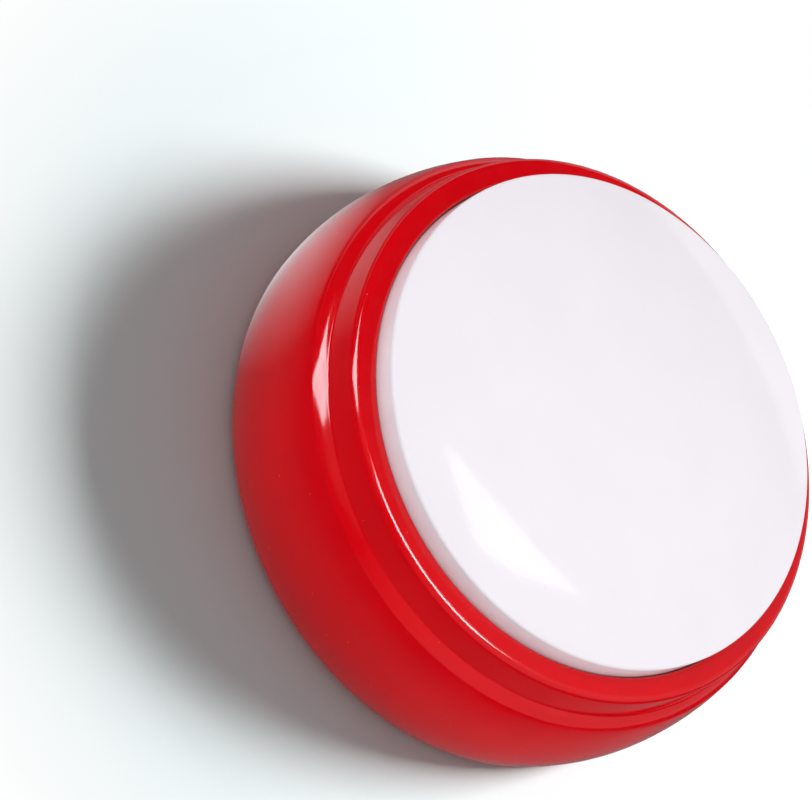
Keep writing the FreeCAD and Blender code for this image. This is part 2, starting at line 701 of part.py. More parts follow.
def base_plate():
    body = new_body("base_plate")
    disc_plan = sketch(body, "plate_plan", lift=BASE_Z)
    circle(disc_plan, "0", "0", PLATE_R)
    pad(body, "plate_disc", disc_plan, "dim.plate_thickness")

    bay_out_x = f"({BAY_HALF_X} + dim.bay_wall)"
    bay_low, bay_high = f"({BAY_FRONT} - dim.bay_wall)", f"({BAY_BACK} + dim.bay_wall)"
    bay_plan = sketch(body, "bay_plan", lift=PLATE_TOP)
    rectangle(bay_plan, f"-{bay_out_x}", bay_low, bay_out_x, bay_high)
    pad(body, "bay_walls", bay_plan, f"{BAY_TOP} - {PLATE_TOP}")
    hollow_plan = sketch(body, "bay_hollow_plan", lift=BASE_Z)
    rectangle(hollow_plan, f"-{BAY_HALF_X}", BAY_FRONT, BAY_HALF_X, BAY_BACK)
    pocket(body, "bay_hollow", hollow_plan, f"{BAY_ROOF} - {BASE_Z}", upwards=True)
    seat_x = f"({BAY_HALF_X} + dim.ledge_width)"
    seat_plan = sketch(body, "door_seat_plan", lift=BASE_Z)
    seat_low = f"({BAY_FRONT} - dim.ledge_width)"
    rounded(seat_plan, f"-{seat_x}", seat_low, seat_x, DOOR_SEAT_BACK, "dim.door_round")
    pocket(body, "door_seat", seat_plan, "dim.door_thickness + dim.key_seat_gap", upwards=True)

    hook_plan = sketch(body, "hook_window_plan", lift=PLATE_TOP)
    window = "(dim.hook_width + 2 * dim.hook_window_gap)"
    window_y = f"({BAY_BACK} + dim.bay_wall / 2)"
    for side in (-1, 1):
        sides = centred(f"({side} * dim.hook_x)", window_y, window, "(2 * dim.bay_wall)")
        rectangle(hook_plan, *sides)
    pocket(body, "hook_windows", hook_plan, "dim.hook_window_rise", upwards=True)
    latch_plan = sketch(body, "latch_window_plan", lift=PLATE_TOP)
    latch_window = "(dim.latch_width + 2 * dim.hook_window_gap)"
    sides = centred("0", f"({BAY_FRONT} - dim.bay_wall / 2)", latch_window, "(2 * dim.bay_wall)")
    rectangle(latch_plan, *sides)
    pocket(body, "latch_window", latch_plan, "dim.latch_window_rise", upwards=True)
    tag_plan = sketch(body, "tag_slot_plan", lift=BAY_ROOF)
    tag_x = f"(-{BAY_HALF_X} + dim.contact_thickness / 2 + dim.tag_slot_gap)"
    tag_length = "(dim.contact_thickness + 2 * dim.tag_slot_gap)"
    tag_width = "(dim.tag_width + 2 * dim.tag_slot_gap)"
    for side in (-1, 1):
        rectangle(tag_plan, *centred(tag_x, f"(dim.bay_y + {side} * {CELL_SHIFT})", tag_length, tag_width))
    pocket(body, "tag_slots", tag_plan, "dim.bay_wall", upwards=True)

    seat_in = "(dim.speaker_radius + dim.speaker_seat_gap)"
    speaker_plan = sketch(body, "speaker_seat_plan", lift=PLATE_TOP)
    circle(speaker_plan, "0", "dim.speaker_y", f"{seat_in} + dim.speaker_seat_wall")
    circle(speaker_plan, "0", "dim.speaker_y", seat_in)
    pad(body, "speaker_seat", speaker_plan, "dim.speaker_rim_height")
    grille(body)

    for index, (side_x, side_y) in enumerate(BOARD_SCREWED + BOARD_PINNED):
        spot_x, spot_y = board_corner(side_x, side_y)
        post_plan = sketch(body, f"board_post_plan_{index}", lift=PLATE_TOP)
        circle(post_plan, spot_x, spot_y, "dim.board_post_radius")
        pad(body, f"board_post_{index}", post_plan, "dim.board_lift")
        end_plan = sketch(body, f"board_post_end_{index}", lift=BOARD_BOTTOM)
        circle(end_plan, spot_x, spot_y, SMALL_PILOT_R)
        if (side_x, side_y) in BOARD_SCREWED:
            pocket(body, f"board_pilot_{index}", end_plan, "dim.small_screw_length")
        else:
            pad(body, f"board_pin_{index}", end_plan, "dim.board_pin_rise")

    window_plan = sketch(body, "key_window_plan", lift=BASE_Z)
    window_length, window_width = "(dim.key_length + 2 * dim.key_gap)", "(dim.key_width + 2 * dim.key_gap)"
    for index in range(len(KEYS)):
        sides = centred(key_x(index), "dim.key_row_y", window_length, window_width)
        rounded(window_plan, *sides, "(dim.key_round + dim.key_gap)")
    rectangle(window_plan, *knob_slot())
    pocket(body, "key_windows", window_plan, "dim.plate_thickness", upwards=True)

    hole_x, hole_y = polar(FASTENER_R, 45)
    sink_plan = sketch(body, "screw_sink_plan", lift=BASE_Z)
    circle(sink_plan, hole_x, hole_y, "dim.screw_head_radius + dim.screw_gap")
    sink = pocket(body, "screw_sink", sink_plan, "dim.screw_sink", upwards=True)
    hole_plan = sketch(body, "screw_hole_plan", lift=BASE_Z)
    circle(hole_plan, hole_x, hole_y, "dim.screw_radius + dim.screw_gap")
    hole = pocket(body, "screw_hole", hole_plan, "dim.plate_thickness", upwards=True)
    around(body, "screw_holes", [sink, hole], 4)
    foot_plan = sketch(body, "foot_seat_plan", lift=BASE_Z)
    circle(foot_plan, FASTENER_R, "0", "dim.foot_radius + dim.foot_seat_gap")
    seat = pocket(body, "foot_seat", foot_plan, "dim.foot_seat_depth", upwards=True)
    around(body, "foot_seats", [seat], 4)
    return body


def grille(body):
    """Parallel slots that fill a circle in front of the speaker."""
    slots_plan = sketch(body, "grille_plan", lift=BASE_Z)
    count = int(value("dim.grille_slots"))
    for index in range(count):
        rise = f"(({index} - {count - 1} / 2) * dim.slot_pitch)"
        half = f"sqrt(dim.grille_radius ^ 2 - {rise} ^ 2)"
        sides = centred("0", f"(dim.speaker_y + {rise})", f"(2 * {half})", "dim.slot_width")
        rounded(slots_plan, *sides, "dim.slot_round")
    pocket(body, "grille_slots", slots_plan, "dim.plate_thickness", upwards=True)


def housing_screws():
    made = []
    seat_z = f"({BASE_Z} + dim.screw_sink)"
    length = "(dim.plate_thickness - dim.screw_sink + dim.screw_length - dim.screw_gap)"
    for turn in (45, 135, 225, 315):
        x, y = polar(FASTENER_R, turn)
        made.append(screw(f"housing_screw_{turn}", "dim.screw_radius", length, "dim.screw_head_radius",
                          "dim.screw_head_height", x, y, seat_z))
    return group("housing_screws", made)


def board_screws():
    made = []
    for index, corner in enumerate(BOARD_SCREWED):
        x, y = board_corner(*corner)
        made.append(screw(f"board_screw_{index}", "dim.small_screw_radius", "dim.small_screw_length",
                          "dim.board_post_radius", "dim.small_head_height", x, y, BOARD_TOP, False))
    return group("board_screws", made)


def rubber_foot(name, turn):
    x, y = polar(FASTENER_R, turn)
    made = cylinder(name, "dim.foot_radius", "dim.foot_stand + dim.foot_seat_depth", x, y)
    made.Label = name
    doc.recompute()
    return made


# Battery door, cells and contacts

def hook_spot(radius, angle):
    """A point on a circle round the door's hinge line, in the plane across it."""
    return f"{HINGE_Y} + ({radius}) * cos({angle})", f"{BASE_Z} + ({radius}) * sin({angle})"


def battery_door():
    body = new_body("battery_door")
    seat_x = f"({BAY_HALF_X} + dim.ledge_width - dim.door_gap)"
    plate_plan = sketch(body, "door_plan", lift=BASE_Z)
    rounded(plate_plan, f"-{seat_x}", f"({BAY_FRONT} - dim.ledge_width + dim.door_gap)", seat_x,
            f"({DOOR_SEAT_BACK} - dim.door_gap)", "dim.door_round")
    pad(body, "door_plate", plate_plan, "dim.door_thickness")
    thumb_plan = sketch(body, "thumb_plan", lift=BASE_Z)
    rounded(thumb_plan, "-dim.thumb_width / 2", f"({BAY_FRONT} + dim.thumb_edge)", "dim.thumb_width / 2",
            f"({BAY_FRONT} + dim.thumb_edge + dim.thumb_length)", "dim.key_round")
    pocket(body, "thumb_recess", thumb_plan, "dim.thumb_depth", upwards=True)

    inner, outer = "dim.hook_reach", "(dim.hook_reach + dim.hook_thickness)"
    root = "(dim.door_thickness / 2)"
    inner_root = f"(180 deg - asin({root} / {inner}))"
    outer_root = f"(180 deg - asin({root} / {outer}))"
    for side in (-1, 1):
        profile = sketch(body, f"hook_profile_{side + 1}", "YZ_Plane", f"{side} * dim.hook_x")
        outline(profile, [
            hook_spot(inner, inner_root),
            (*hook_spot(inner, "dim.hook_tip_angle"), inner, -1),
            hook_spot(outer, "dim.hook_tip_angle"),
            (*hook_spot(outer, outer_root), outer, 1),
        ])
        pad(body, f"hinge_hook_{side + 1}", profile, "dim.hook_width", midplane=True)

    latch_out = f"({BAY_FRONT} + dim.latch_gap)"
    latch_in = f"({latch_out} + dim.latch_thickness)"
    nose_z = f"({PLATE_TOP} + dim.key_seat_gap)"
    latch = sketch(body, "latch_profile", "YZ_Plane")
    outline(latch, [
        (latch_in, f"{DOOR_TOP} - dim.door_thickness / 2"),
        (latch_in, f"{DOOR_TOP} + dim.latch_height"),
        (latch_out, f"{DOOR_TOP} + dim.latch_height"),
        (f"{latch_out} - dim.latch_nose", f"{nose_z} + dim.latch_nose_height / 2"),
        (f"{latch_out} - dim.latch_nose", nose_z),
        (latch_out, nose_z),
        (latch_out, f"{DOOR_TOP} - dim.door_thickness / 2"),
    ])
    pad(body, "latch_finger", latch, "dim.latch_width", midplane=True)
    return body


def battery_cell(name, side):
    """An AAA cell lying along X; side 1 points its positive end to +X."""
    can = cylinder(f"{name}_can", "dim.cell_radius", "dim.cell_length - dim.cell_nub_length")
    nub = cylinder(f"{name}_nub", "dim.cell_nub_radius", "dim.cell_length")
    made = fuse(name, [can, nub])
    made.Placement = Placement(Vector(0, 0, 0), Rotation(Vector(0, 1, 0), 90 * side))
    end = f"({BAY_HALF_X} - dim.contact_thickness - dim.dimple_rise)"
    place(made, f"{side} * ({end} - dim.cell_length)", f"dim.bay_y + {side} * {CELL_SHIFT}", CELL_Z)
    doc.recompute()
    return made


def leaf(name, side, cell_side):
    """The bent leaf that presses on a cell's flat end; side 1 stands at the +X end of the bay."""
    root_x = f"({BAY_HALF_X} - dim.contact_thickness)"
    tip_x = f"({BAY_HALF_X} - 2 * dim.bay_end_gap + dim.contact_thickness + dim.dimple_rise)"
    low = f"({CELL_Z} - dim.contact_height / 3)"
    high = f"({CELL_Z} + dim.contact_height / 3)"
    body = new_body(name)
    profile = sketch(body, f"{name}_profile", "XZ_Plane", f"-(dim.bay_y + {cell_side} * {CELL_SHIFT})")
    lean = "dim.leaf_thickness"
    outline(profile, [
        (f"{side} * {root_x}", low),
        (f"{side} * {tip_x}", f"{CELL_Z} - {lean}"),
        (f"{side} * {tip_x}", f"{CELL_Z} + {lean}"),
        (f"{side} * ({root_x} - dim.contact_thickness)", high),
        (f"{side} * ({root_x} - dim.contact_thickness)", f"{high} - 2 * {lean}"),
        (f"{side} * ({tip_x} + 2 * {lean})", CELL_Z),
        (f"{side} * {root_x}", f"{low} + 2 * {lean}"),
    ])
    pad(body, f"{name}_strip", profile, "dim.leaf_width", midplane=True)
    return body


def contact_plate(name, side, y, width):
    x = f"({side} * ({BAY_HALF_X} - dim.contact_thickness / 2))"
    z = f"{CELL_Z} - dim.contact_height / 2"
    return block(name, "dim.contact_thickness", width, "dim.contact_height", x, y, z)


def dimple(name, side, cell_side):
    """The raised button that meets a cell's positive nub."""
    made = cylinder(name, "dim.dimple_radius", "dim.dimple_rise")
    made.Placement = Placement(Vector(0, 0, 0), Rotation(Vector(0, 1, 0), -90 * side))
    x = f"{side} * ({BAY_HALF_X} - dim.contact_thickness)"
    place(made, x, f"dim.bay_y + {cell_side} * {CELL_SHIFT}", CELL_Z)
    return made


def tag(name, cell_side):
    """The solder tag that comes up through the bay's roof."""
    x = f"(-({BAY_HALF_X} - dim.contact_thickness / 2))"
    top = f"({CELL_Z} + dim.contact_height / 2)"
    return block(name, "dim.contact_thickness", "dim.tag_width", f"{BAY_TOP} + dim.tag_rise - {top}", x,
                 f"(dim.bay_y + {cell_side} * {CELL_SHIFT})", top)


def bridge_contact():
    """The plate at the +X end that joins the two cells."""
    plate = contact_plate("bridge_plate", 1, "dim.bay_y", f"2 * {CELL_SHIFT} + dim.contact_width")
    return fuse("bridge_contact", [plate, dimple("bridge_dimple", 1, 1), leaf("bridge_leaf", 1, -1)])


def positive_contact():
    plate = contact_plate("positive_plate", -1, f"(dim.bay_y - {CELL_SHIFT})", "dim.contact_width")
    return fuse("positive_contact", [plate, dimple("positive_dimple", -1, -1), tag("positive_tag", -1)])


def negative_contact():
    plate = contact_plate("negative_plate", -1, f"(dim.bay_y + {CELL_SHIFT})", "dim.contact_width")
    return fuse("negative_contact", [plate, leaf("negative_leaf", -1, 1), tag("negative_tag", 1)])


# Speaker, built about its own axis and set down on the base plate

BASKET_Z = "(dim.speaker_rim_height + dim.basket_rise)"
BASKET_R = "(dim.speaker_radius - dim.speaker_rim_width)"


def speaker_frame():
    """A pressed basket: a rim, a straight wall and a back plate with the hole of the voice coil."""
    body = new_body("speaker_frame")
    profile = sketch(body, "basket_profile", "XZ_Plane")
    outline(profile, [
        (BASKET_R, "0"),
        ("dim.speaker_radius", "0"),
        ("dim.speaker_radius", "dim.speaker_rim_height"),
        (f"{BASKET_R} + dim.basket_wall", "dim.speaker_rim_height"),
        (f"{BASKET_R} + dim.basket_wall", BASKET_Z),
        ("dim.voice_coil_radius", BASKET_Z),
        ("dim.voice_coil_radius", f"{BASKET_Z} - dim.basket_wall"),
        (BASKET_R, f"{BASKET_Z} - dim.basket_wall"),
    ])
    revolve(body, "basket", profile)
    place(body, "0", "dim.speaker_y", PLATE_TOP)
    doc.recompute()
    return body


def speaker_cone():
    """The diaphragm: a thin disc with a raised middle over the voice coil."""
    body = new_body("speaker_cone")
    rim_r = f"({BASKET_R} - dim.thread_gap)"
    middle_r = "(dim.voice_coil_radius + dim.diaphragm_step)"
    low, high = "dim.diaphragm_lift", "(dim.diaphragm_lift + dim.diaphragm_thickness)"
    profile = sketch(body, "cone_profile", "XZ_Plane")
    outline(profile, [
        ("0", low),
        (rim_r, low),
        (rim_r, high),
        (middle_r, high),
        ("dim.voice_coil_radius", f"{high} + dim.diaphragm_step"),
        ("0", f"{high} + dim.diaphragm_step"),
    ])
    revolve(body, "diaphragm", profile)
    place(body, "0", "dim.speaker_y", PLATE_TOP)
    doc.recompute()
    return body


def speaker_magnet():
    z = f"{PLATE_TOP} + dim.speaker_rim_height + dim.basket_rise"
    made = cylinder("speaker_magnet", "dim.magnet_radius", "dim.magnet_height", "0", "dim.speaker_y", z)
    doc.recompute()
    return made


# Circuit board and what is on it

def circuit_board():
    body = new_body("circuit_board")
    plan = sketch(body, "board_plan", lift=BOARD_BOTTOM)
    rectangle(plan, *centred("dim.board_x", "dim.board_y", "dim.board_length", "dim.board_width"))
    for corner in BOARD_SCREWED + BOARD_PINNED:
        circle(plan, *board_corner(*corner), f"{SMALL_PILOT_R} + dim.tag_slot_gap")
    pad(body, "board_panel", plan, "dim.board_thickness")
    return body


def switch_case(name, x, y, z, stem_up):
    """The square case of a press switch, with the well that its stem sinks into."""
    well = "(dim.switch_stem_width + 2 * dim.switch_stem_gap)"
    depth = "(dim.switch_stem_root + dim.switch_travel + dim.switch_stem_gap)"
    case = block(f"{name}_case", "dim.switch_width", "dim.switch_width", "dim.switch_height", x, y, z)
    well_z = f"{z} + dim.switch_height - {depth}" if stem_up else z
    return cut(name, case, block(f"{name}_well", well, well, depth, x, y, well_z))


def stem(name, x, y, z):
    made = block(name, "dim.switch_stem_width", "dim.switch_stem_width",
                 "dim.switch_stem_root + dim.switch_stem_rise", x, y, z)
    doc.recompute()
    return made


def alarm_switch():
    z = f"{BOARD_BOTTOM} - dim.slide_body_height"
    case = block("alarm_case", "dim.slide_body_length", "dim.slide_body_width", "dim.slide_body_height",
                 "dim.slide_x", "dim.key_row_y", z)
    track = block("alarm_track", "dim.lever_width + dim.slide_travel + 2 * dim.lever_gap",
                  "dim.lever_width + 2 * dim.lever_gap", "dim.lever_root + dim.lever_gap",
                  "dim.slide_x", "dim.key_row_y", z)
    return cut("alarm_switch", case, track)


KNOB_X = "(dim.slide_x - dim.slide_travel / 2)"
LEVER_Z = f"({BOARD_BOTTOM} - dim.slide_body_height - dim.lever_length)"


def alarm_lever():
    made = block("alarm_lever", "dim.lever_width", "dim.lever_width", "dim.lever_length + dim.lever_root",
                 KNOB_X, "dim.key_row_y", LEVER_Z)
    doc.recompute()
    return made


def voice_chip():
    made = cylinder("voice_chip", "dim.chip_radius", "dim.chip_rise", "dim.chip_x", "dim.chip_y", BOARD_TOP)
    doc.recompute()
    return made


def crystal():
    made = cylinder("crystal", "dim.crystal_radius", "dim.crystal_length")
    made.Placement = Placement(Vector(0, 0, 0), Rotation(Vector(0, 1, 0), 90))
    place(made, "dim.crystal_x", "dim.crystal_y", f"{BOARD_TOP} + dim.crystal_radius")
    doc.recompute()
    return made


def capacitor():
    made = cylinder("capacitor", "dim.capacitor_radius", "dim.capacitor_height",
                    "dim.capacitor_x", "dim.capacitor_y", BOARD_TOP)
    doc.recompute()
    return made


# Setting keys and the alarm knob, reached from below

def setting_key(name, index):
    body = new_body(name)
    face_plan = sketch(body, f"{name}_face_plan", lift=f"{BASE_Z} + dim.key_sink")
    rounded(face_plan, *centred("0", "0", "dim.key_length", "dim.key_width"), "dim.key_round")
    pad(body, f"{name}_face", face_plan, f"{PLATE_TOP} + dim.key_seat_gap - {BASE_Z} - dim.key_sink")
    flange_plan = sketch(body, f"{name}_flange_plan", lift=f"{PLATE_TOP} + dim.key_seat_gap")
    length = "(dim.key_length + 2 * dim.key_flange_reach)"
    width = "(dim.key_width + 2 * dim.key_flange_reach)"
    rectangle(flange_plan, *centred("0", "0", length, width))
    pad(body, f"{name}_flange", flange_plan, "dim.key_flange_height")
    stem_z = f"({PLATE_TOP} + dim.key_seat_gap + dim.key_flange_height)"
    stem_plan = sketch(body, f"{name}_stem_plan", lift=stem_z)
    rectangle(stem_plan, *centred("0", "0", "dim.key_stem_width", "dim.key_stem_width"))
    pad(body, f"{name}_stem", stem_plan, f"{KEY_STEM_TOP} - {stem_z}")
    place(body, key_x(index), "dim.key_row_y")
    doc.recompute()
    return body


def alarm_knob():
    body = new_body("alarm_knob")
    grip_z = f"({BASE_Z} + dim.key_sink)"
    flange_z = f"({PLATE_TOP} + dim.key_seat_gap)"
    grip_plan = sketch(body, "grip_plan", lift=grip_z)
    rectangle(grip_plan, *centred("0", "0", "dim.knob_length", "dim.knob_width"))
    pad(body, "grip", grip_plan, f"{flange_z} - {grip_z}")
    ridge_plan = sketch(body, "ridge_plan", lift=f"{grip_z} - dim.knob_ridge_rise")
    for step in (-1, 0, 1):
        sides = centred(f"({step} * dim.knob_ridge_pitch)", "0", "dim.knob_ridge_width", "dim.knob_width")
        rectangle(ridge_plan, *sides)
    pad(body, "grip_ridges", ridge_plan, "dim.knob_ridge_rise + dim.thread_gap")
    flange_plan = sketch(body, "knob_flange_plan", lift=flange_z)
    length = "(dim.knob_length + 2 * (dim.slide_travel + dim.key_gap + dim.knob_flange_reach))"
    width = "(dim.knob_width + 2 * (dim.key_gap + dim.knob_flange_reach))"
    rectangle(flange_plan, *centred("0", "0", length, width))
    pad(body, "knob_flange", flange_plan, "dim.key_flange_height")
    post_z = f"({flange_z} + dim.key_flange_height)"
    post_top = f"({LEVER_Z} + dim.knob_grip)"
    post_plan = sketch(body, "knob_post_plan", lift=post_z)
    rectangle(post_plan, *centred("0", "0", "dim.knob_post_width", "dim.knob_post_width"))
    pad(body, "knob_post", post_plan, f"{post_top} - {post_z}")
    socket_plan = sketch(body, "knob_socket_plan", lift=post_top)
    socket = "(dim.lever_width + 2 * dim.thread_gap)"
    rectangle(socket_plan, *centred("0", "0", socket, socket))
    pocket(body, "knob_socket", socket_plan, "dim.knob_grip + dim.thread_gap")
    place(body, KNOB_X, "dim.key_row_y")
    doc.recompute()
    return body


# Wires inside the housing, each swept along its own route in one upright plane

def bent_wire(name, x, route, bend):
    """A wire of square section; route is a list of (y, z) points, and each corner is bent to one radius."""
    spots = [Vector(value(x), value(y), value(z)) for y, z in route]
    radius = value(bend)
    edges, start = [], spots[0]
    for before, corner, after in zip(spots, spots[1:], spots[2:]):
        back = (before - corner).normalize()
        ahead = (after - corner).normalize()
        half = back.getAngle(ahead) / 2
        run = radius / math.tan(half)
        middle = corner + (back + ahead).normalize() * (radius / math.sin(half) - radius)
        first, last = corner + back * run, corner + ahead * run
        edges.append(Part.LineSegment(start, first).toShape())
        edges.append(Part.Arc(first, middle, last).toShape())
        start = last
    edges.append(Part.LineSegment(start, spots[-1]).toShape())
    along = (spots[1] - spots[0]).normalize()
    across = Vector(1, 0, 0)
    upright = along.cross(across)
    half_width = value("dim.lead_width") / 2
    corners = [spots[0] + across * (a * half_width) + upright * (b * half_width)
               for a, b in ((-1, -1), (1, -1), (1, 1), (-1, 1), (-1, -1))]
    made = doc.addObject("Part::Feature", name)
    made.Shape = Part.Wire(edges).makePipeShell([Part.makePolygon(corners)], True, False)
    made.Label = name
    return made


def speaker_lead():
    foot_y = "dim.speaker_y - dim.speaker_radius + dim.lead_width"
    foot_z = f"{PLATE_TOP} + dim.speaker_rim_height"
    shift = "dim.speaker_lead_bend"
    third = f"({BOARD_BOTTOM} - {foot_z}) / 3"
    route = [
        (foot_y, foot_z),
        (foot_y, f"{foot_z} + {third}"),
        (f"{foot_y} + {shift}", f"{foot_z} + 2 * {third}"),
        (f"{foot_y} + {shift}", BOARD_BOTTOM),
    ]
    return bent_wire("speaker_lead", "dim.speaker_lead_x", route, f"{shift} / 2")


def battery_lead(name, cell_side, face):
    """From a contact's solder tag up, across to the board and down onto its top face."""
    x = f"-({BAY_HALF_X} - dim.contact_thickness / 2) + {face} * (dim.contact_thickness + dim.lead_width) / 2"
    tag_y = f"dim.bay_y + {cell_side} * {CELL_SHIFT}"
    board_edge = "(dim.board_y - dim.board_width / 2)"
    crest = f"{BOARD_TOP} + 2 * dim.battery_lead_bend"
    route = [
        (tag_y, f"{BAY_TOP} + dim.tag_slot_gap"),
        (tag_y, crest),
        (f"{board_edge} + dim.battery_lead_run / 2", crest),
        (f"{board_edge} + dim.battery_lead_run / 2", BOARD_TOP),
    ]
    return bent_wire(name, x, route, "dim.battery_lead_bend")


def press_switch():
    return switch_case("press_switch", "0", "0", BOARD_TOP, True)


def press_switch_stem():
    z = f"{PRESS_STEM_TOP} - dim.switch_stem_rise - dim.switch_stem_root"
    return stem("press_switch_stem", "0", "0", z)


def build():
    pieces = [upper_housing(), button_cap(), cap_screws(), button_spring(), base_plate(), housing_screws()]
    for name, turn in (("foot_right", 0), ("foot_rear", 90), ("foot_left", 180), ("foot_front", 270)):
        pieces.append(rubber_foot(name, turn))
    pieces += [battery_door(), battery_cell("aaa_cell_rear", 1), battery_cell("aaa_cell_front", -1)]
    pieces += [bridge_contact(), positive_contact(), negative_contact()]
    pieces += [speaker_frame(), speaker_cone(), speaker_magnet()]
    pieces += [circuit_board(), board_screws(), press_switch(), press_switch_stem(), alarm_switch()]
    pieces += [alarm_lever(), alarm_knob(), voice_chip(), crystal(), capacitor()]
    for index, name in enumerate(KEYS):
        pieces.append(setting_key(name, index))
        pieces.append(switch_case(f"{name}_switch", key_x(index), "dim.key_row_y",
                                  f"{BOARD_BOTTOM} - dim.switch_height", False))
        pieces.append(stem(f"{name}_switch_stem", key_x(index), "dim.key_row_y", KEY_STEM_TOP))
    pieces.append(speaker_lead())
    pieces += [battery_lead("battery_lead_black", 1, 1), battery_lead("battery_lead_red", -1, -1)]
    return pieces


def check(pieces):
    for item in doc.Objects:
        if "Invalid" in item.State or "Error" in item.State:
            raise RuntimeError(f"{item.Label} did not compute: {item.State}")
    for piece in pieces:
        if piece.Shape.isNull() or not piece.Shape.isValid() or not piece.Shape.Solids:
            raise RuntimeError(f"{piece.Label} is not a valid solid")


pieces = build()
doc.recompute()
check(pieces)
os.makedirs("parts", exist_ok=True)
for piece in pieces:
    piece.Shape.exportStep(f"parts/{piece.Label}.step")
    print(piece.Label, len(piece.Shape.Solids), round(piece.Shape.Volume, 1))
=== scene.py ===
import json
import math

import bmesh
import bpy
from mathutils import Matrix, Vector

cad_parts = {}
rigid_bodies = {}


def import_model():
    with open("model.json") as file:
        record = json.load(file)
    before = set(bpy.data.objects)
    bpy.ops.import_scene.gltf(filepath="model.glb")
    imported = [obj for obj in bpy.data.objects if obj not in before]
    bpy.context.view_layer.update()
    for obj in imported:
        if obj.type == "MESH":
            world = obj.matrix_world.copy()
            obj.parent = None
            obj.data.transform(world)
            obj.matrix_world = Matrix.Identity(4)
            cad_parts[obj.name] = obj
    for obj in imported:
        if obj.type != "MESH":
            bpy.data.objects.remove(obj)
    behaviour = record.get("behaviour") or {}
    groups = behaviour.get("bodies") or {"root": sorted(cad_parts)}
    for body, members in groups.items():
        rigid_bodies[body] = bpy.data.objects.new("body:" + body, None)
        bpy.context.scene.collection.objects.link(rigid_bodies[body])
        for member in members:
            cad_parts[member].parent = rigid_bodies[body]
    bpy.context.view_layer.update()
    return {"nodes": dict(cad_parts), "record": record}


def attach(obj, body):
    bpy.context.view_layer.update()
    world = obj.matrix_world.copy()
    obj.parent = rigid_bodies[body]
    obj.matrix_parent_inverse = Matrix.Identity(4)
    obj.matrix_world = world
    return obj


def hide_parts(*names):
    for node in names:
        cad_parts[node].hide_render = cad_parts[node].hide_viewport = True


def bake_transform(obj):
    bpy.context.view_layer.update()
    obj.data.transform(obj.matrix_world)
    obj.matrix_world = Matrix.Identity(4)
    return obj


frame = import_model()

MM = 0.001

# Heights and radii of the housing and the button, in millimetres
BASE_Z, BULGE_Z, RIM_Z = 1.2, 11.6, 34.45
BASE_R, BULGE_R, RIM_R, WELL_R, BUTTON_R = 54.0, 55.2, 50.23, 45.85, 45.7
SKIRT_Z, DECK_TOP, DECK_BOTTOM, SEAT_Z = 31.0, 27.7, 25.7, 3.6
BUTTON_TOP, EDGE_Z = 46.0, 38.7
WALL = 2.0

# Rounds that run on into each other from the bulge up to the cove: radius, and the turn where each starts
ROUNDS = ((54.0, 0.0), (12.0, 14.0), (1.3, 19.0), (5.8, 34.0))
ROUNDS_END = 58.0

# Circles of the screws and feet and of the button's guide posts: radius, and turns in degrees
OUTER_CIRCLE, POST_CIRCLE = 46.0, 37.0
SCREW_TURNS, FOOT_TURNS, POST_TURNS = (45, 135, 225, 315), (0, 90, 180, 270), (90, 210, 330)

# Outlines of the cards that show in the gloss. The first two hang level at CARD_HEIGHT and are in metres.
# The last stands at LEFT_DISTANCE and is in degrees of azimuth and elevation.
OVERHEAD_CARD = ((-0.0995, 0.156), (0.019, 0.127), (0.133, 0.1175), (0.231, 0.199), (0.338, 0.36),
                 (0.2075, 0.276), (0.078, 0.215))
RIM_CARD = ((-0.12, -0.25), (0.5, -0.25), (0.5, 0.06), (-0.12, 0.06))
LEFT_CARD = ((-40, 37), (-46, 22), (-49, 4), (-54, 15), (-60, 26), (-68, 31), (-77, 33), (-71, 42),
             (-69, 49), (-61, 54), (-50, 52))
CARD_HEIGHT, LEFT_DISTANCE = 0.94, 0.8

# Pieces and CAD nodes that show from below
UNDERSIDE = ("base_plate", "battery_door", "alarm_knob", "mode_key", "hour_key", "minute_key", "screws",
             "pads", "speaker_frame", "diaphragm", "cell_sleeves", "cell_cans", "bridge_contact",
             "positive_contact", "negative_contact")


# Camera

def add_camera():
    """Looks down on the clock from the front, rolled so that the clock's own axis leans to the right."""
    elevation, roll, distance = math.radians(50.1), math.radians(25.5), 1.0
    width, height, focal_pixels, target_pixel = 812, 800, 5502.0, (481.4, 478.0)
    target = Vector((0, 0, 0.0015))
    back = Vector((0, -math.cos(elevation), math.sin(elevation)))
    right = Vector((1, 0, 0))
    up = back.cross(right)
    image_x = right * math.sin(roll) + up * math.cos(roll)
    image_y = up * math.sin(roll) - right * math.cos(roll)
    level = Matrix((image_x, image_y, back)).transposed().to_quaternion()
    across, down = target_pixel[0] - width / 2, target_pixel[1] - height / 2
    sight = Vector((across / focal_pixels, -down / focal_pixels, -1))
    turn = Vector((0, 0, -1)).rotation_difference(sight)
    data = bpy.data.cameras.new("camera")
    data.sensor_width = 36
    data.lens = focal_pixels * data.sensor_width / width
    camera = bpy.data.objects.new("camera", data)
    camera.location = target + back * distance
    camera.rotation_mode = "QUATERNION"
    camera.rotation_quaternion = level @ turn.inverted()
    bpy.context.scene.collection.objects.link(camera)
    bpy.context.scene.camera = camera


# Node trees

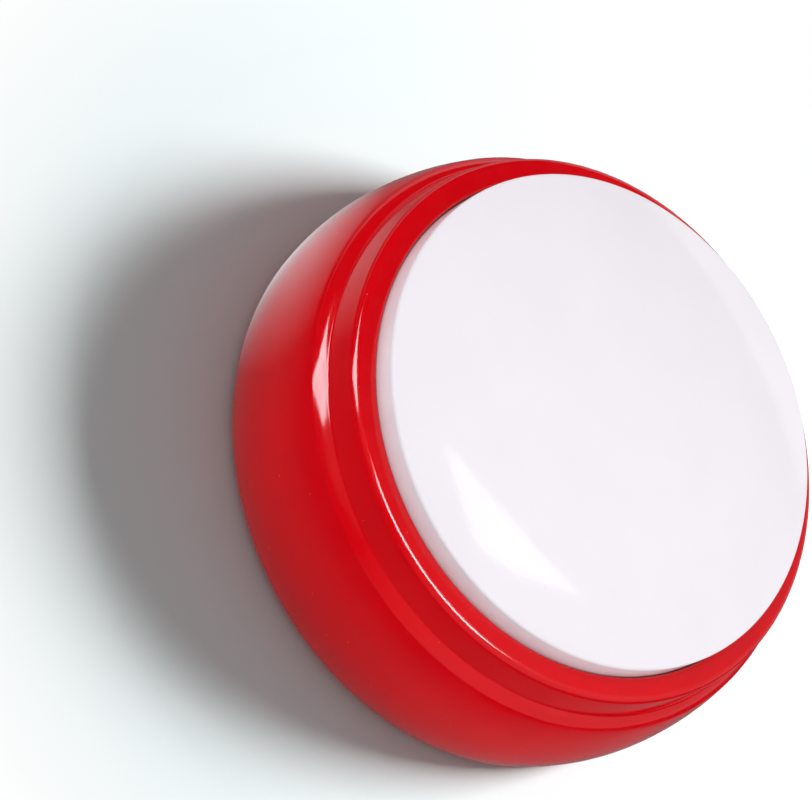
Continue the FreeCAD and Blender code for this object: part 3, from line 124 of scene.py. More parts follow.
class Nodes:
    """A node tree and the steps that the materials and the world are put together from."""

    def __init__(self, tree):
        self.tree = tree

    def node(self, kind, **settings):
        made = self.tree.nodes.new("ShaderNode" + kind)
        for key, setting in settings.items():
            setattr(made, key, setting)
        return made

    def link(self, output, target):
        self.tree.links.new(output, target)

    def spread(self, fac, low, high, start=0.35, end=0.65):
        """Maps a value between start and end to the range from low to high."""
        made = self.node("MapRange")
        self.link(fac, made.inputs["Value"])
        for key, number in zip(("From Min", "From Max", "To Min", "To Max"), (start, end, low, high)):
            made.inputs[key].default_value = number
        return made.outputs[0]

    def combine(self, operation, first, *others):
        """Takes the outputs together in turn, such as their product or the largest of them."""
        for other in others:
            made = self.node("Math", operation=operation)
            self.link(first, made.inputs[0])
            self.link(other, made.inputs[1])
            first = made.outputs[0]
        return first

    def measure(self, operation, place, other=None):
        """A length, distance or dot product of a place and another vector."""
        made = self.node("VectorMath", operation=operation)
        self.link(place, made.inputs[0])
        if other:
            made.inputs[1].default_value = other
        return made.outputs["Value"]

    def light(self, kind, colour, strength=1.0):
        """An emission or background shader; the strength is a number or another node's output."""
        made = self.node(kind)
        made.inputs["Color"].default_value = (*colour, 1)
        if isinstance(strength, float):
            made.inputs["Strength"].default_value = strength
        else:
            self.link(strength, made.inputs["Strength"])
        return made

    def layer(self, shader, *layers):
        """Lays shaders over the first one, each given with the factor that brings it out."""
        before = shader.outputs[0]
        for factor, cover in layers:
            mix = self.node("MixShader")
            self.link(factor, mix.inputs[0])
            self.link(before, mix.inputs[1])
            self.link(cover.outputs[0], mix.inputs[2])
            before = mix.outputs[0]
        return before


class Finish(Nodes):
    """A material with a principled shader and a few helpers for its textures."""

    def __init__(self, name):
        self.made = bpy.data.materials.new(name)
        self.made.use_nodes = True
        super().__init__(self.made.node_tree)
        self.shader = self.tree.nodes["Principled BSDF"]
        self.place = self.node("TexCoord").outputs["Object"]

    def noise(self, size, detail=2.0, roughness=0.5, stretch=None):
        """Noise whose blotches are about size millimetres across."""
        made = self.node("TexNoise")
        made.inputs["Scale"].default_value = 1 / (size * MM)
        made.inputs["Detail"].default_value = detail
        made.inputs["Roughness"].default_value = roughness
        where = self.place
        if stretch:
            mapping = self.node("Mapping")
            mapping.inputs["Scale"].default_value = stretch
            self.link(where, mapping.inputs["Vector"])
            where = mapping.outputs[0]
        self.link(where, made.inputs["Vector"])
        return made.outputs["Fac"]

    def cells(self, size):
        """The distance to the nearest of points about size millimetres apart."""
        made = self.node("TexVoronoi")
        made.inputs["Scale"].default_value = 1 / (size * MM)
        self.link(self.place, made.inputs["Vector"])
        return made.outputs["Distance"]

    def mix(self, fac, first, second):
        made = self.node("Mix", data_type="RGBA")
        self.link(fac, made.inputs["Factor"])
        for slot, colour in (("A", first), ("B", second)):
            socket = next(s for s in made.inputs if s.name == slot and s.type == "RGBA")
            if isinstance(colour, tuple):
                socket.default_value = (*colour, 1)
            else:
                self.link(colour, socket)
        return next(s for s in made.outputs if s.type == "RGBA")

    def set(self, socket, setting):
        self.shader.inputs[socket].default_value = setting

    def colour(self, output):
        self.link(output, self.shader.inputs["Base Color"])

    def rough(self, output):
        self.link(output, self.shader.inputs["Roughness"])

    def surface(self, output):
        """Shows another shader in place of the principled one."""
        self.link(output, self.tree.nodes["Material Output"].inputs["Surface"])

    def relief(self, *layers, edge=0.0):
        """Bump layers, each (texture, height in millimetres), over an optional softened edge."""
        normal = None
        if edge:
            soft = self.node("Bevel", samples=6)
            soft.inputs["Radius"].default_value = edge * MM
            normal = soft.outputs[0]
        for texture, height in layers:
            made = self.node("Bump")
            made.inputs["Strength"].default_value = 1.0
            made.inputs["Distance"].default_value = height * MM
            self.link(texture, made.inputs["Height"])
            if normal:
                self.link(normal, made.inputs["Normal"])
            normal = made.outputs[0]
        self.link(normal, self.shader.inputs["Normal"])


# Materials

def shade(colour, factor):
    return tuple(min(part * factor, 1) for part in colour)


def gloss_plastic(name, colour, dull, roughness, peel=0.0006, dust=(0.62, 0.56, 0.56)):
    """Polished moulding: faint flow marks, a slight orange peel and a little dust, unless it is None."""
    finish = Finish(name)
    tone = finish.mix(finish.spread(finish.noise(14, 3), 0, 1), colour, dull)
    worn = finish.spread(finish.noise(4, 4, 0.6), roughness * 0.8, roughness * 1.35)
    if dust:
        speck = finish.spread(finish.cells(3.1), 0.55, 0, start=0.012, end=0.03)
        tone = finish.mix(speck, tone, dust)
    finish.colour(tone)
    finish.rough(worn)
    finish.relief((finish.noise(1.4, 2), peel), (finish.noise(0.35, 2), peel * 1.3))
    return finish


def satin_plastic(name, colour, roughness=0.42, grain=0.35, depth=0.012):
    """Spark-eroded moulding: an even fine grain and slightly rubbed patches."""
    finish = Finish(name)
    finish.colour(finish.mix(finish.spread(finish.noise(9, 3), 0, 1), colour, shade(colour, 0.86)))
    finish.rough(finish.spread(finish.noise(6, 4), roughness * 0.85, roughness * 1.15))
    finish.relief((finish.noise(grain, 3, 0.7), depth), edge=0.15)
    return finish


def metal(name, colour, roughness, brushed=(1, 1, 1)):
    """Plated or rolled metal; scaling one direction up draws its fine grain out into brushed lines."""
    finish = Finish(name)
    lines = finish.noise(0.12, 3, 0.6, brushed)
    finish.colour(finish.mix(finish.spread(finish.noise(3, 3), 0, 1), colour, shade(colour, 0.82)))
    finish.rough(finish.spread(lines, roughness * 0.75, roughness * 1.3))
    finish.set("Metallic", 1.0)
    finish.relief((lines, 0.003), edge=0.1)
    return finish


def rubber(name, colour):
    """Matt rubber with a pale bloom."""
    finish = Finish(name)
    finish.colour(finish.mix(finish.spread(finish.noise(1.2, 4), 0, 1), colour, shade(colour, 2.2)))
    finish.rough(finish.spread(finish.noise(2, 3), 0.7, 0.9))
    finish.relief((finish.noise(0.25, 3, 0.7), 0.02), edge=0.25)
    return finish


def pulp(name, colour):
    """Pressed paper with fibres."""
    finish = Finish(name)
    fibres = finish.noise(0.5, 5, 0.7, (1, 3, 1))
    finish.colour(finish.mix(finish.spread(fibres, 0, 1), colour, shade(colour, 2.4)))
    finish.rough(finish.spread(fibres, 0.8, 0.95))
    finish.relief((fibres, 0.04))
    return finish


def laminate(name, colour):
    """Green solder mask over copper tracks."""
    finish = Finish(name)
    brick = finish.node("TexBrick")
    for key, number in (("Scale", 160), ("Mortar Size", 0.07), ("Brick Width", 1.4)):
        brick.inputs[key].default_value = number
    finish.link(finish.place, brick.inputs["Vector"])
    tracks = finish.mix(brick.outputs["Fac"], colour, shade(colour, 1.9))
    finish.colour(finish.mix(finish.spread(finish.noise(5, 2), 0, 0.35), tracks, shade(colour, 0.6)))
    finish.rough(finish.spread(finish.noise(3, 2), 0.25, 0.4))
    finish.relief((brick.outputs["Fac"], 0.03), edge=0.1)
    return finish


def sleeve(name, colour, band=None):
    """A plain shrink sleeve; the cells' sleeves have a band of another colour at their positive ends."""
    finish = Finish(name)
    tone = finish.mix(finish.spread(finish.noise(8, 2), 0, 1), colour, shade(colour, 0.8))
    if band:
        between_cells, band_start, blur = -0.019, 0.012, 0.0001
        apart = finish.node("SeparateXYZ")
        finish.link(finish.place, apart.inputs[0])
        side = finish.spread(apart.outputs["Y"], -1, 1, between_cells - blur, between_cells + blur)
        along = finish.combine("MULTIPLY", apart.outputs["X"], side)
        tone = finish.mix(finish.spread(along, 0, 1, band_start - blur, band_start + blur), tone, band)
    finish.colour(tone)
    finish.rough(finish.spread(finish.noise(3, 2), 0.18, 0.3))
    finish.relief((finish.noise(2.5, 2), 0.01), edge=0.15)
    return finish


def make_finishes():
    made = {
        "red_gloss_abs": gloss_plastic("red_gloss", (0.70, 0.0004, 0.005), (0.66, 0.0004, 0.005), 0.1),
        "red_satin_abs": satin_plastic("red_satin", (0.50, 0.002, 0.006)),
        "white_gloss_abs": gloss_plastic("white_gloss", (0.90, 0.855, 0.91), (0.885, 0.84, 0.895), 0.06),
        "white_satin_abs": satin_plastic("white_satin", (0.80, 0.79, 0.78), 0.38),
        "black_satin_abs": satin_plastic("black_satin", (0.02, 0.02, 0.022), 0.45),
        "black_rubber": rubber("black_rubber", (0.018, 0.018, 0.019)),
        "zinc_steel": metal("zinc_steel", (0.62, 0.63, 0.65), 0.32),
        "spring_steel": metal("spring_steel", (0.45, 0.45, 0.46), 0.28),
        "nickel_steel": metal("nickel_steel", (0.74, 0.71, 0.66), 0.2, (1, 8, 1)),
        "cell_jacket": sleeve("cell_jacket", (0.08, 0.085, 0.10), (0.60, 0.30, 0.12)),
        "cone_paper": pulp("cone_paper", (0.02, 0.02, 0.022)),
        "ferrite": satin_plastic("ferrite", (0.05, 0.05, 0.055), 0.7, 0.4, 0.03),
        "board_laminate": laminate("board_laminate", (0.012, 0.13, 0.045)),
        "switch_black": satin_plastic("switch_black", (0.02, 0.02, 0.02), 0.4, 0.2, 0.006),
        "switch_white": satin_plastic("switch_white", (0.72, 0.72, 0.69), 0.4, 0.2, 0.006),
        "switch_metal": metal("switch_metal", (0.58, 0.58, 0.59), 0.25),
        "epoxy_black": gloss_plastic("epoxy_black", (0.01, 0.01, 0.011), (0.02, 0.02, 0.02), 0.2, 0.02,
                                     dust=None),
        "crystal_can": metal("crystal_can", (0.68, 0.68, 0.67), 0.18),
        "capacitor_sleeve": sleeve("capacitor_sleeve", (0.01, 0.014, 0.06)),
        "wire_red": satin_plastic("wire_red", (0.5, 0.01, 0.01), 0.4, 0.3, 0.006),
        "wire_black": satin_plastic("wire_black", (0.012, 0.012, 0.012), 0.4, 0.3, 0.006),
        "wire_grey": satin_plastic("wire_grey", (0.25, 0.25, 0.26), 0.4, 0.3, 0.006),
    }
    return {slot: finish.made for slot, finish in made.items()}


def dress_nodes(finishes):
    """Gives each CAD node the finish of its own material slot."""
    slots = {part["node"]: part["material_slot"] for part in frame["record"]["subparts"]}
    for name, node in frame["nodes"].items():
        node.data.materials.clear()
        node.data.materials.append(finishes[slots[name]])


# Mesh helpers

def spot_at(turn, radius, middle=(0.0, 0.0)):
    """The point of a circle at a turn in degrees."""
    angle = math.radians(turn)
    return middle[0] + radius * math.cos(angle), middle[1] + radius * math.sin(angle)


def arc(middle, radius, start, end, steps):
    """Points on a circle from one turn to another, in degrees."""
    return [spot_at(start + (end - start) * step / steps, radius, middle) for step in range(steps + 1)]


def fillet(before, corner, after, radius, steps=6):
    """Points that round a corner of a profile."""
    corner, before, after = Vector(corner), Vector(before), Vector(after)
    back, ahead = (before - corner).normalized(), (after - corner).normalized()
    half = back.angle(ahead) / 2
    centre = corner + (back + ahead).normalized() * (radius / math.sin(half))
    first, last = corner + back * (radius / math.tan(half)), corner + ahead * (radius / math.tan(half))
    start, end = (first - centre).normalized(), (last - centre).normalized()
    return [tuple(centre + start.slerp(end, step / steps) * radius) for step in range(steps + 1)]


def supported(profile, reach=0.12):
    """Adds points beside the ends of long straights, so that smooth shading leaves them flat."""
    points = []
    for here, after in zip(profile, profile[1:] + profile[:1]):
        points.append(here)
        run = Vector(after) - Vector(here)
        if run.length > 6 * reach:
            step = run.normalized() * reach
            points.append(tuple(Vector(here) + step))
            points.append(tuple(Vector(after) - step))
    return points


def skin(bm, rings, closed=False):
    """Joins rings of points, in millimetres, into a surface and gives back their vertices.

    A ring of one point closes an end, and a closed surface also joins its last ring to its first.
    """
    made = [[bm.verts.new(Vector(spot) * MM) for spot in ring] for ring in rings]
    for low, high in zip(made, made[1:] + (made[:1] if closed else [])):
        for index in range(max(len(low), len(high))):
            after = index + 1
            corners = [low[index % len(low)], low[after % len(low)],
                       high[after % len(high)], high[index % len(high)]]
            corners = list(dict.fromkeys(corners))
            if len(corners) > 2:
                bm.faces.new(corners)
    return made


def lathe(bm, profile, around=256, middle=(0.0, 0.0)):
    """Revolves a closed section, a list of (radius, height) in millimetres, about an upright axis."""
    turns = [2 * math.pi * index / around for index in range(around)]
    rings = [[(middle[0] + radius * math.cos(turn), middle[1] + radius * math.sin(turn), height)
              for turn in (turns if radius > 1e-6 else turns[:1])] for radius, height in profile]
    skin(bm, rings, closed=True)


def tube(bm, inner, outer, low, high, middle):
    lathe(bm, [(inner, low), (outer, low), (outer, high), (inner, high)], 48, middle)


def block(bm, low, high):
    """A box from its low corner to its high corner, in millimetres."""
    size = [(b - a) * MM for a, b in zip(low, high)]
    middle = [(b + a) / 2 * MM for a, b in zip(low, high)]
    bmesh.ops.create_cube(bm, size=1, matrix=Matrix.Translation(middle) @ Matrix.Diagonal((*size, 1)))


def add_object(name, bm):
    """Puts the mesh into the scene as an object of its own."""
    mesh = bpy.data.meshes.new(name)
    bm.to_mesh(mesh)
    bm.free()
    made = bpy.data.objects.new(name, mesh)
    bpy.context.scene.collection.objects.link(made)
    return made


def piece(name, bm, body, slot, finishes, replaces, sharp=32):
    """A named piece that rides on a body, replaces CAD nodes and takes one slot's finish."""
    bmesh.ops.recalc_face_normals(bm, faces=bm.faces)
    made = add_object(name, bm)
    made.data.shade_smooth()
    made.data.set_sharp_from_angle(angle=math.radians(sharp))
    made.data.materials.append(finishes[slot])
    if body:
        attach(made, body)
    if replaces:
        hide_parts(*replaces)
    return made


# Housing

def shoulder():
    """The rounds from the bulge to the cove, and the middle and radius of the last of them."""
    radius, turn = ROUNDS[0]
    middle = (BULGE_R - radius, BULGE_Z)
    points = []
    for next_radius, next_turn in ROUNDS[1:]:
        points += arc(middle, radius, turn, next_turn, 12)
        middle = spot_at(next_turn, radius - next_radius, middle)
        radius, turn = next_radius, next_turn
    points += arc(middle, radius, turn, ROUNDS_END, 16)
    # Each arc starts where the last one ended, and that point is kept once
    single = [spot for spot, before in zip(points[1:], points) if math.dist(spot, before) > 1e-6]
    return single, middle, radius


def collar(cove, cove_r):
    """The collar's lean in degrees, with the arc of its rim, whose sides meet at RIM_R and RIM_Z."""
    rim_r, slope = 1.6, 7.94
    across, up = cove[0] - RIM_R, RIM_Z - cove[1]
    lean = math.degrees(math.atan(across / up) - math.asin(cove_r / math.hypot(across, up)))
    set_back = rim_r * math.tan(math.radians((90 - lean - slope) / 2))
    rim_low = spot_at(lean - 90, set_back, (RIM_R, RIM_Z))
    return lean, arc(spot_at(lean, -rim_r, rim_low), rim_r, lean, 90 - slope, 16)


def housing_section():
    """The shell's section: tucked flank, shoulder, cove, leaning collar, rim, lip, well and deck."""
    flank_r, cove_r, lip_r, lip_rise, chamfer = 39.0, 0.6, 0.5, 0.6, 0.8
    foot_r, well_outside_r, hole_r = BASE_R - 1.2, 47.3, 5.6
    ring_in, ring_out, ring_top = 8.2, 9.2, DECK_TOP + 1.5
    tuck = math.degrees(math.asin((BULGE_Z - BASE_Z - chamfer) / flank_r))
    rounds, middle, radius = shoulder()
    cove = spot_at(ROUNDS_END, radius + cove_r, middle)
    lean, rim = collar(cove, cove_r)
    under_cove, under_shoulder = (cove[0] - 1.9, cove[1] - 2.2), (51.2, 23.4)
    section = [(foot_r, BASE_Z)]
    section += arc((BASE_R - chamfer, BASE_Z + chamfer), chamfer, -90, 0, 8)
    section += arc((BULGE_R - flank_r, BULGE_Z), flank_r, -tuck, 0, 24)[1:]
    section += rounds + arc(cove, cove_r, 180 + ROUNDS_END, 180 + lean, 8)[1:] + rim
    section += fillet(rim[-1], (WELL_R, RIM_Z + lip_rise), (WELL_R, DECK_TOP), lip_r)
    section += [(WELL_R, DECK_TOP), (ring_out, DECK_TOP), (ring_out, ring_top), (ring_in, ring_top),
                (ring_in, DECK_TOP), (hole_r, DECK_TOP), (hole_r, DECK_BOTTOM)]
    section += [(well_outside_r, DECK_BOTTOM), (well_outside_r, RIM_Z - WALL), under_cove, under_shoulder,
                (BULGE_R - WALL, BULGE_Z), (BASE_R - WALL, SEAT_Z), (foot_r, SEAT_Z)]
    return supported(section)


def add_housing(finishes):
    """The red moulding with its screw bosses and the sleeves that guide the button."""
    boss_in, boss_out, boss_top = 1.32, 3.0, 26.7
    guide_in, guide_out, guide_low, guide_top = 2.58, 4.18, 22.7, 30.7
    bm = bmesh.new()
    lathe(bm, housing_section())
    for turn in SCREW_TURNS:
        tube(bm, boss_in, boss_out, SEAT_Z, boss_top, spot_at(turn, OUTER_CIRCLE))
    for turn in POST_TURNS:
        tube(bm, guide_in, guide_out, guide_low, guide_top, spot_at(turn, POST_CIRCLE))
    piece("shell", bm, "housing", "red_gloss_abs", finishes, ["upper_housing"])


# Button

def button_section():
    """The cap's section: skirt, rounded edge, spherical crown and hollow underside."""
    edge_r, skirt_chamfer, thickness, wall, wall_drop, flat_r = 0.6, 0.3, 3.6, 2.4, 1.2, 25.0
    edge = (BUTTON_R - edge_r, EDGE_Z)
    drop = BUTTON_TOP - EDGE_Z - edge_r
    crown_r = (edge[0] ** 2 + drop ** 2) / (2 * drop) + edge_r
    turn = math.degrees(math.acos(edge[0] / (crown_r - edge_r)))
    section = [(BUTTON_R - skirt_chamfer, SKIRT_Z), (BUTTON_R, SKIRT_Z + skirt_chamfer)]
    section += arc(edge, edge_r, 0, turn, 28)
    section += arc((0.0, BUTTON_TOP - crown_r), crown_r, turn, 90, 40)[1:-1]
    section += [(0, BUTTON_TOP), (0, BUTTON_TOP - thickness), (flat_r, BUTTON_TOP - thickness),
                (BUTTON_R - wall, EDGE_Z - wall_drop), (BUTTON_R - wall, SKIRT_Z)]
    return supported(section)


def add_button(finishes):
    """The white cap with its three guide posts and the cross-shaped plunger in the middle."""
    post_low, post_high, post_r, screw_r, lead_in = 22.6, 40.0, 2.5, 0.92, 0.2
    plunger_low, plunger_high, reach, half = 25.9, BUTTON_TOP - 1.2, 5.2, 0.8
    post = [(screw_r, post_low), (post_r - lead_in, post_low), (post_r, post_low + lead_in),
            (post_r, post_high), (screw_r, post_high)]
    bm = bmesh.new()
    lathe(bm, button_section())
    for turn in POST_TURNS:
        lathe(bm, post, 40, spot_at(turn, POST_CIRCLE))
    block(bm, (-reach, -half, plunger_low), (reach, half, plunger_high))
    block(bm, (-half, -reach, plunger_low), (half, reach, plunger_high))
    return piece("dome", bm, "button", "white_gloss_abs", finishes, ["button_cap"])


def add_spring(finishes):
    """A round wire wound from the deck to the shoulders of the plunger."""
    radius, wire, length, coils = 6.35, 0.45, 10.0, 4.0
    steps, sides = 160, 12
    rings = []
    for step in range(steps + 1):
        share = step / steps
        turn = 2 * math.pi * coils * share
        outward = Vector((math.cos(turn), math.sin(turn), 0))
        middle = outward * radius + Vector((0, 0, DECK_TOP + wire + (length - 2 * wire) * share))
        angles = [2 * math.pi * side / sides for side in range(sides)]
        rings.append([middle + outward * (wire * math.cos(angle)) + Vector((0, 0, wire * math.sin(angle)))
                      for angle in angles])
    bm = bmesh.new()
    made = skin(bm, rings)
    bm.faces.new(made[0][::-1])
    bm.faces.new(made[-1])
    coil = piece("coil", bm, None, "spring_steel", finishes, ["button_spring"])
    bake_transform(coil)


# Underside and what shows through it

def screw_rings(x, y):
    """Rings of points from a screw's cross recess over its head and thread to its tip."""
    head_r, head_low, head_high, head_round = 2.7, 1.4, 2.6, 0.6
    shank_r, thread_depth, pitch, tip, tip_length = 1.3, 0.22, 0.75, 11.4, 1.2
    point_r, point_length, ring_gap = 0.5, 0.3, 0.1
    slot, width, depth, floor_share = 1.5, 0.38, 0.85, 0.7
    corner = math.degrees(math.atan(width / slot))
    turns = [math.radians(90 * quarter + angle) for quarter in range(4)
             for angle in (0, corner / 2, corner, 24, 34, 45, 56, 66, 90 - corner, 90 - corner / 2)]

    def cross(turn, share):
        across, along = sorted((abs(math.cos(turn)) + 1e-9, abs(math.sin(turn)) + 1e-9))
        return share * max(min(slot / along, width / across), min(slot / across, width / along))

    def thread(turn, height):
        return shank_r - thread_depth * abs(2 * ((height / pitch - turn / (2 * math.pi)) % 1) - 1)

    def ring(reach, height):
        return [(x + reach(turn) * math.cos(turn), y + reach(turn) * math.sin(turn), height)
                for turn in turns]

    rings = [[(x, y, head_low + depth + ring_gap)],
             ring(lambda turn: cross(turn, floor_share), head_low + depth),
             ring(lambda turn: cross(turn, 1.0), head_low)]
    head = arc((head_r - head_round, head_low + head_round), head_round, -90, 0, 8) + [(head_r, head_high)]
    rings += [ring(lambda turn: radius, height) for radius, height in head]
    height = head_high
    while height < tip - tip_length:
        rings.append(ring(lambda turn: thread(turn, height), height))
        height += ring_gap
    return rings + [ring(lambda turn: point_r, tip - point_length), [(x, y, tip)]]


def add_screws(finishes):
    """Pan-head screws with a cross recess and a rolled thread, their heads down."""
    bm = bmesh.new()
    for turn in SCREW_TURNS:
        skin(bm, screw_rings(*spot_at(turn, OUTER_CIRCLE)))
    piece("screws", bm, "housing", "zinc_steel", finishes, ["housing_screws"])


def add_feet(finishes):
    """Rubber feet with a rounded edge and a shallow dish."""
    radius, top, edge_r, dish_r, dish = 4.2, 1.8, 0.55, 3.2, 0.2
    section = [(0, top), (radius, top)] + fillet((radius, top), (radius, 0), (0, 0), edge_r)
    section += [(dish_r, 0), (dish_r - 0.4, dish), (0, dish + 0.05)]
    bm = bmesh.new()
    for turn in FOOT_TURNS:
        lathe(bm, section, 72, spot_at(turn, OUTER_CIRCLE))
    feet = ["foot_front", "foot_left", "foot_rear", "foot_right"]
    piece("pads", bm, "housing", "black_rubber", finishes, feet)


def add_lying_pair(name, section, slot, finishes, replaced):
    """Revolves a section and lays it down twice, the rear one pointing right and the front one left."""
    rear, front, height = (-20.2, -13.5, 90), (20.2, -24.5, -90), 8.25
    bm = bmesh.new()
    for x, y, turn in (rear, front):
        known = len(bm.verts)
        lathe(bm, section, 64)
        bm.verts.ensure_lookup_table()
        place = Matrix.Translation(Vector((x, y, height)) * MM)
        lie = place @ Matrix.Rotation(math.radians(turn), 4, "Y")
        bmesh.ops.transform(bm, matrix=lie, verts=bm.verts[known:])
    piece(name, bm, "housing", slot, finishes, replaced)


def add_cells(finishes):
    """Two AAA cells: a sleeve shrunk over the can, a stepped positive cap and a dished negative end."""
    can_r, can_top, cap_r, length = 4.2, 43.0, 1.9, 44.5
    jacket = [(4.3, 0.35), (4.45, 0.08), (4.9, 0.08)] + arc((4.9, 0.43), 0.35, -90, 0, 6)[1:]
    jacket += arc((4.8, 42.7), 0.45, 0, 90, 6) + [(4.35, 43.1), (can_r, 42.9)]
    can = [(0, 0.2), (2.9, 0.2), (3.1, 0.0), (3.9, 0.0), (can_r, 0.3), (can_r, can_top), (2.9, 43.15),
           (2.6, 43.5), (cap_r, 43.5)] + arc((cap_r - 0.3, length - 0.3), 0.3, 0, 90, 5) + [(0, length)]
    add_lying_pair("cell_sleeves", jacket, "cell_jacket", finishes, ["aaa_cell_rear", "aaa_cell_front"])
    add_lying_pair("cell_cans", can, "nickel_steel", finishes, [])


def add_diaphragm(finishes):
    """The speaker's cone with its rolled surround and dust cap."""
    speaker_y, roll_at, roll_r = 24.5, 14.1, 0.8
    below = [(15.35, 5.5), (15.35, 5.05)] + arc((roll_at, 5.05), roll_r, 0, -180, 14)
    below += [(12.9, 5.3), (5.3, 7.3), (4.9, 7.0), (3.9, 6.55), (2.6, 6.2), (1.3, 6.04), (0, 6.0)]
    above = [(0, 6.3), (2.6, 6.5), (4.7, 7.3), (5.3, 7.6), (12.9, 5.6)]
    above += arc((roll_at, 5.3), roll_r - 0.2, -180, 0, 14)
    bm = bmesh.new()
    lathe(bm, below + above, 128, (0.0, speaker_y))
    piece("diaphragm", bm, "housing", "cone_paper", finishes, ["speaker_cone"], 50)


# Floor, world and lamps

def add_floor():
    """A pale floor that takes the clock's shadow, turns plain white farther out and is clear from below.

    In the gloss it glows in place of its lit colour, a painted reflection: dim, brighter towards the far
    left, with a painted bright patch at the clock's left edge.
    """
    far_left, patch_at = (-0.42, 0.91, 0.0), (-0.06, -0.02, 0.0)
    bm = bmesh.new()
    bmesh.ops.create_grid(bm, x_segments=1, y_segments=1, size=6.0)
    floor = add_object("floor", bm)
    finish = Finish("floor")
    # Painted light: the floor is tinted cool to cancel the red light that the shell bounces into its shadow
    finish.set("Base Color", (0.635, 0.705, 0.71, 1))
    finish.set("Roughness", 0.9)
    finish.set("Specular IOR Level", 0.0)
    path, side = finish.node("LightPath").outputs, finish.node("NewGeometry").outputs
    out = finish.measure("LENGTH", finish.place)
    along = finish.measure("DOT_PRODUCT", finish.place, far_left)
    from_patch = finish.measure("DISTANCE", finish.place, patch_at)
    rays = [path[f"Is {kind} Ray"] for kind in ("Camera", "Glossy", "Transmission")]
    seen = finish.combine("MAXIMUM", *rays)
    beyond = finish.combine("MULTIPLY", finish.spread(out, 0, 1, 0.085, 0.125), seen)
    # Painted reflection: glossy rays see this cool glow, 0.2 near the clock and dim farther out, brighter
    # towards the far left, and bright in a painted patch beside the clock's left edge
    level = finish.combine("MAXIMUM", finish.spread(out, 0.2, 0.01, 0.072, 0.102),
                           finish.spread(along, 0.0, 0.7, 0.02, 0.22),
                           finish.spread(from_patch, 1.1, 0.0, 0.006, 0.037))
    white = finish.light("Emission", (1, 1, 1))
    mirrored = finish.light("Emission", (0.75, 0.97, 1.0), level)
    finish.surface(finish.layer(finish.shader, (beyond, white), (path["Is Glossy Ray"], mirrored),
                                (side["Backfacing"], finish.node("BsdfTransparent"))))
    floor.data.materials.append(finish.made)
    floor.visible_shadow = False
    return floor


def set_world():
    """A dim studio, white to the camera and through glass; in the gloss it is bright at the right alone."""
    ambient, right = 0.36, (0.98, 0.2, 0.0)
    world = bpy.data.worlds.new("studio")
    world.use_nodes = True
    bpy.context.scene.world = world
    nodes = Nodes(world.node_tree)
    nodes.tree.nodes.clear()
    path = nodes.node("LightPath").outputs
    place = nodes.node("TexCoord").outputs["Generated"]
    level = nodes.spread(nodes.measure("DOT_PRODUCT", place, right), 0.02, 0.45, -0.1, 0.6)
    seen = nodes.combine("MAXIMUM", path["Is Camera Ray"], path["Is Transmission Ray"])
    plain, white = nodes.light("Background", (1, 1, 1), ambient), nodes.light("Background", (1, 1, 1))
    mirrored = nodes.light("Background", (0.95, 0.96, 1.0), level)
    shown = nodes.layer(plain, (path["Is Glossy Ray"], mirrored), (seen, white))
    nodes.link(shown, nodes.node("OutputWorld").inputs["Surface"])


def aim(azimuth, elevation):
    """The unit vector away from the clock; azimuth 0 points to the camera's side."""
    flat = math.cos(math.radians(elevation))
    return Vector((math.sin(math.radians(azimuth)) * flat, -math.cos(math.radians(azimuth)) * flat,
                   math.sin(math.radians(elevation))))


def add_lamp(name, azimuth, elevation, distance, size, power, mirrored=False):
    """An area lamp that faces the clock. It only lights, or only shows in the gloss where mirrored."""
    data = bpy.data.lights.new(name, "AREA")
    data.shape = "RECTANGLE"
    data.size, data.size_y = size
    data.energy = power
    lamp = bpy.data.objects.new(name, data)
    away = aim(azimuth, elevation)
    lamp.location = Vector((0, 0, 0.035)) + away * distance
    lamp.rotation_mode = "QUATERNION"
    lamp.rotation_quaternion = away.to_track_quat("Z", "Y")
    lamp.visible_camera = False
    lamp.visible_glossy = mirrored
    lamp.visible_diffuse = not mirrored
    bpy.context.scene.collection.objects.link(lamp)
    return lamp


def link_light(source, state, *things):
    """Lets a lamp or card light only the things, or all but the things."""
    group = bpy.data.collections.new(source.name + "_light")
    source.light_linking.receiver_collection = group
    for thing in things:
        group.objects.link(thing)
    for linked in group.collection_objects:
        linked.light_linking.link_state = state


def add_softbox(name, azimuth, elevation, distance, size, strength):
    """A softbox that shows in the gloss with the given strength and adds no light."""
    power = strength * math.pi * size[0] * size[1]
    add_lamp(name, azimuth, elevation, distance, size, power, mirrored=True)


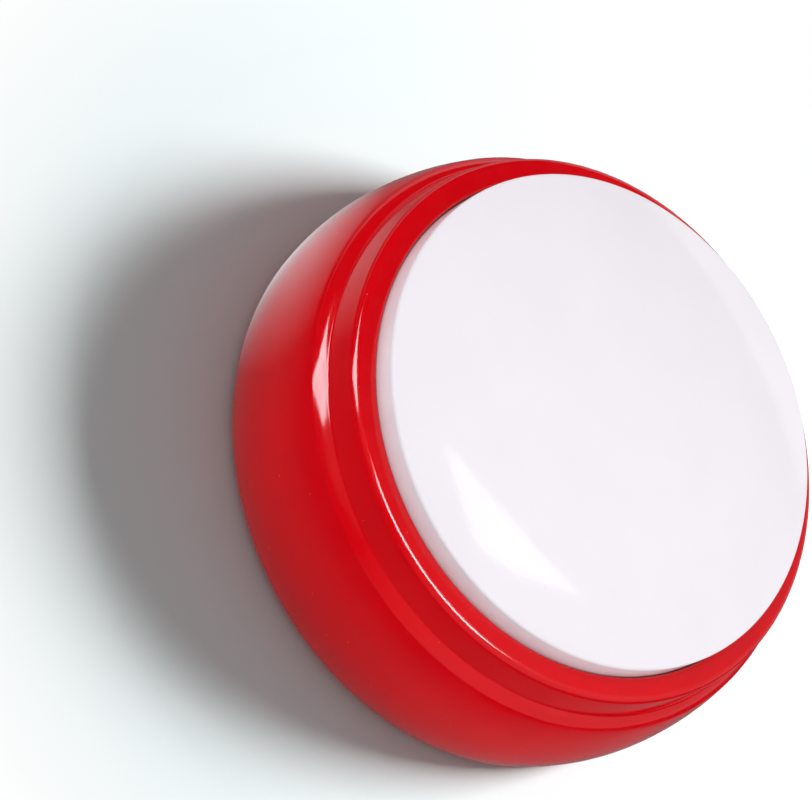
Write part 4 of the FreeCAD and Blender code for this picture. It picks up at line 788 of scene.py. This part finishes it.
def add_card(name, corners, strength, tint=(1.0, 1.0, 1.0), mottle=0.0):
    """A bright card of any outline that shows in the gloss and nowhere else."""
    bm = bmesh.new()
    bm.faces.new([bm.verts.new(corner) for corner in corners])
    card = add_object(name, bm)
    finish = Finish(name)
    level = strength
    if mottle:
        blotches = finish.noise(45, 2, 0.7)
        level = finish.spread(blotches, strength * (1 - mottle), strength * (1 + mottle))
    finish.surface(finish.light("Emission", tint, level).outputs[0])
    card.data.materials.append(finish.made)
    card.visible_camera = card.visible_diffuse = card.visible_transmission = card.visible_shadow = False
    return card


def add_lights(floor, dome):
    """Lamps that light the floor or the clock alone, and the cards that show in the clock's gloss."""
    link_light(add_lamp("floor_key", 156, 39, 0.9, (0.3, 0.3), 15.2), "INCLUDE", floor)
    link_light(add_lamp("front_key", -41, 53, 0.9, (0.7, 0.7), 4.75), "EXCLUDE", floor)
    link_light(add_lamp("right_fill", 108, 41, 0.9, (0.5, 0.6), 3.2), "EXCLUDE", floor)
    link_light(add_lamp("far_fill", 175, 52, 0.9, (0.5, 0.5), 0.85), "EXCLUDE", floor)
    link_light(add_lamp("wall_fill", 20, 5, 0.9, (0.5, 0.3), 0.6), "EXCLUDE", floor, dome)
    underside = [thing for thing in bpy.context.scene.objects if thing.name in UNDERSIDE]
    link_light(add_lamp("under_fill", -30, -60, 0.9, (0.8, 0.8), 8), "INCLUDE", *underside)
    add_softbox("backdrop_glow", -172, 9, 1.2, (0.9, 0.45), 0.7)
    add_card("overhead_card", [(x, y, CARD_HEIGHT) for x, y in OVERHEAD_CARD], 3.0)
    rim_card = add_card("rim_card", [(x, y, CARD_HEIGHT) for x, y in RIM_CARD], 20.0)
    left_corners = [aim(*corner) * LEFT_DISTANCE for corner in LEFT_CARD]
    left_card = add_card("left_card", left_corners, 13.5, (0.6, 0.97, 1.0), 0.35)
    for card in (rim_card, left_card):
        link_light(card, "EXCLUDE", dome)


bpy.context.scene.view_settings.view_transform = "Standard"
finishes = make_finishes()
add_camera()
dress_nodes(finishes)
add_housing(finishes)
dome = add_button(finishes)
add_screws(finishes)
add_feet(finishes)
add_cells(finishes)
add_diaphragm(finishes)
add_spring(finishes)
floor = add_floor()
set_world()
add_lights(floor, dome)
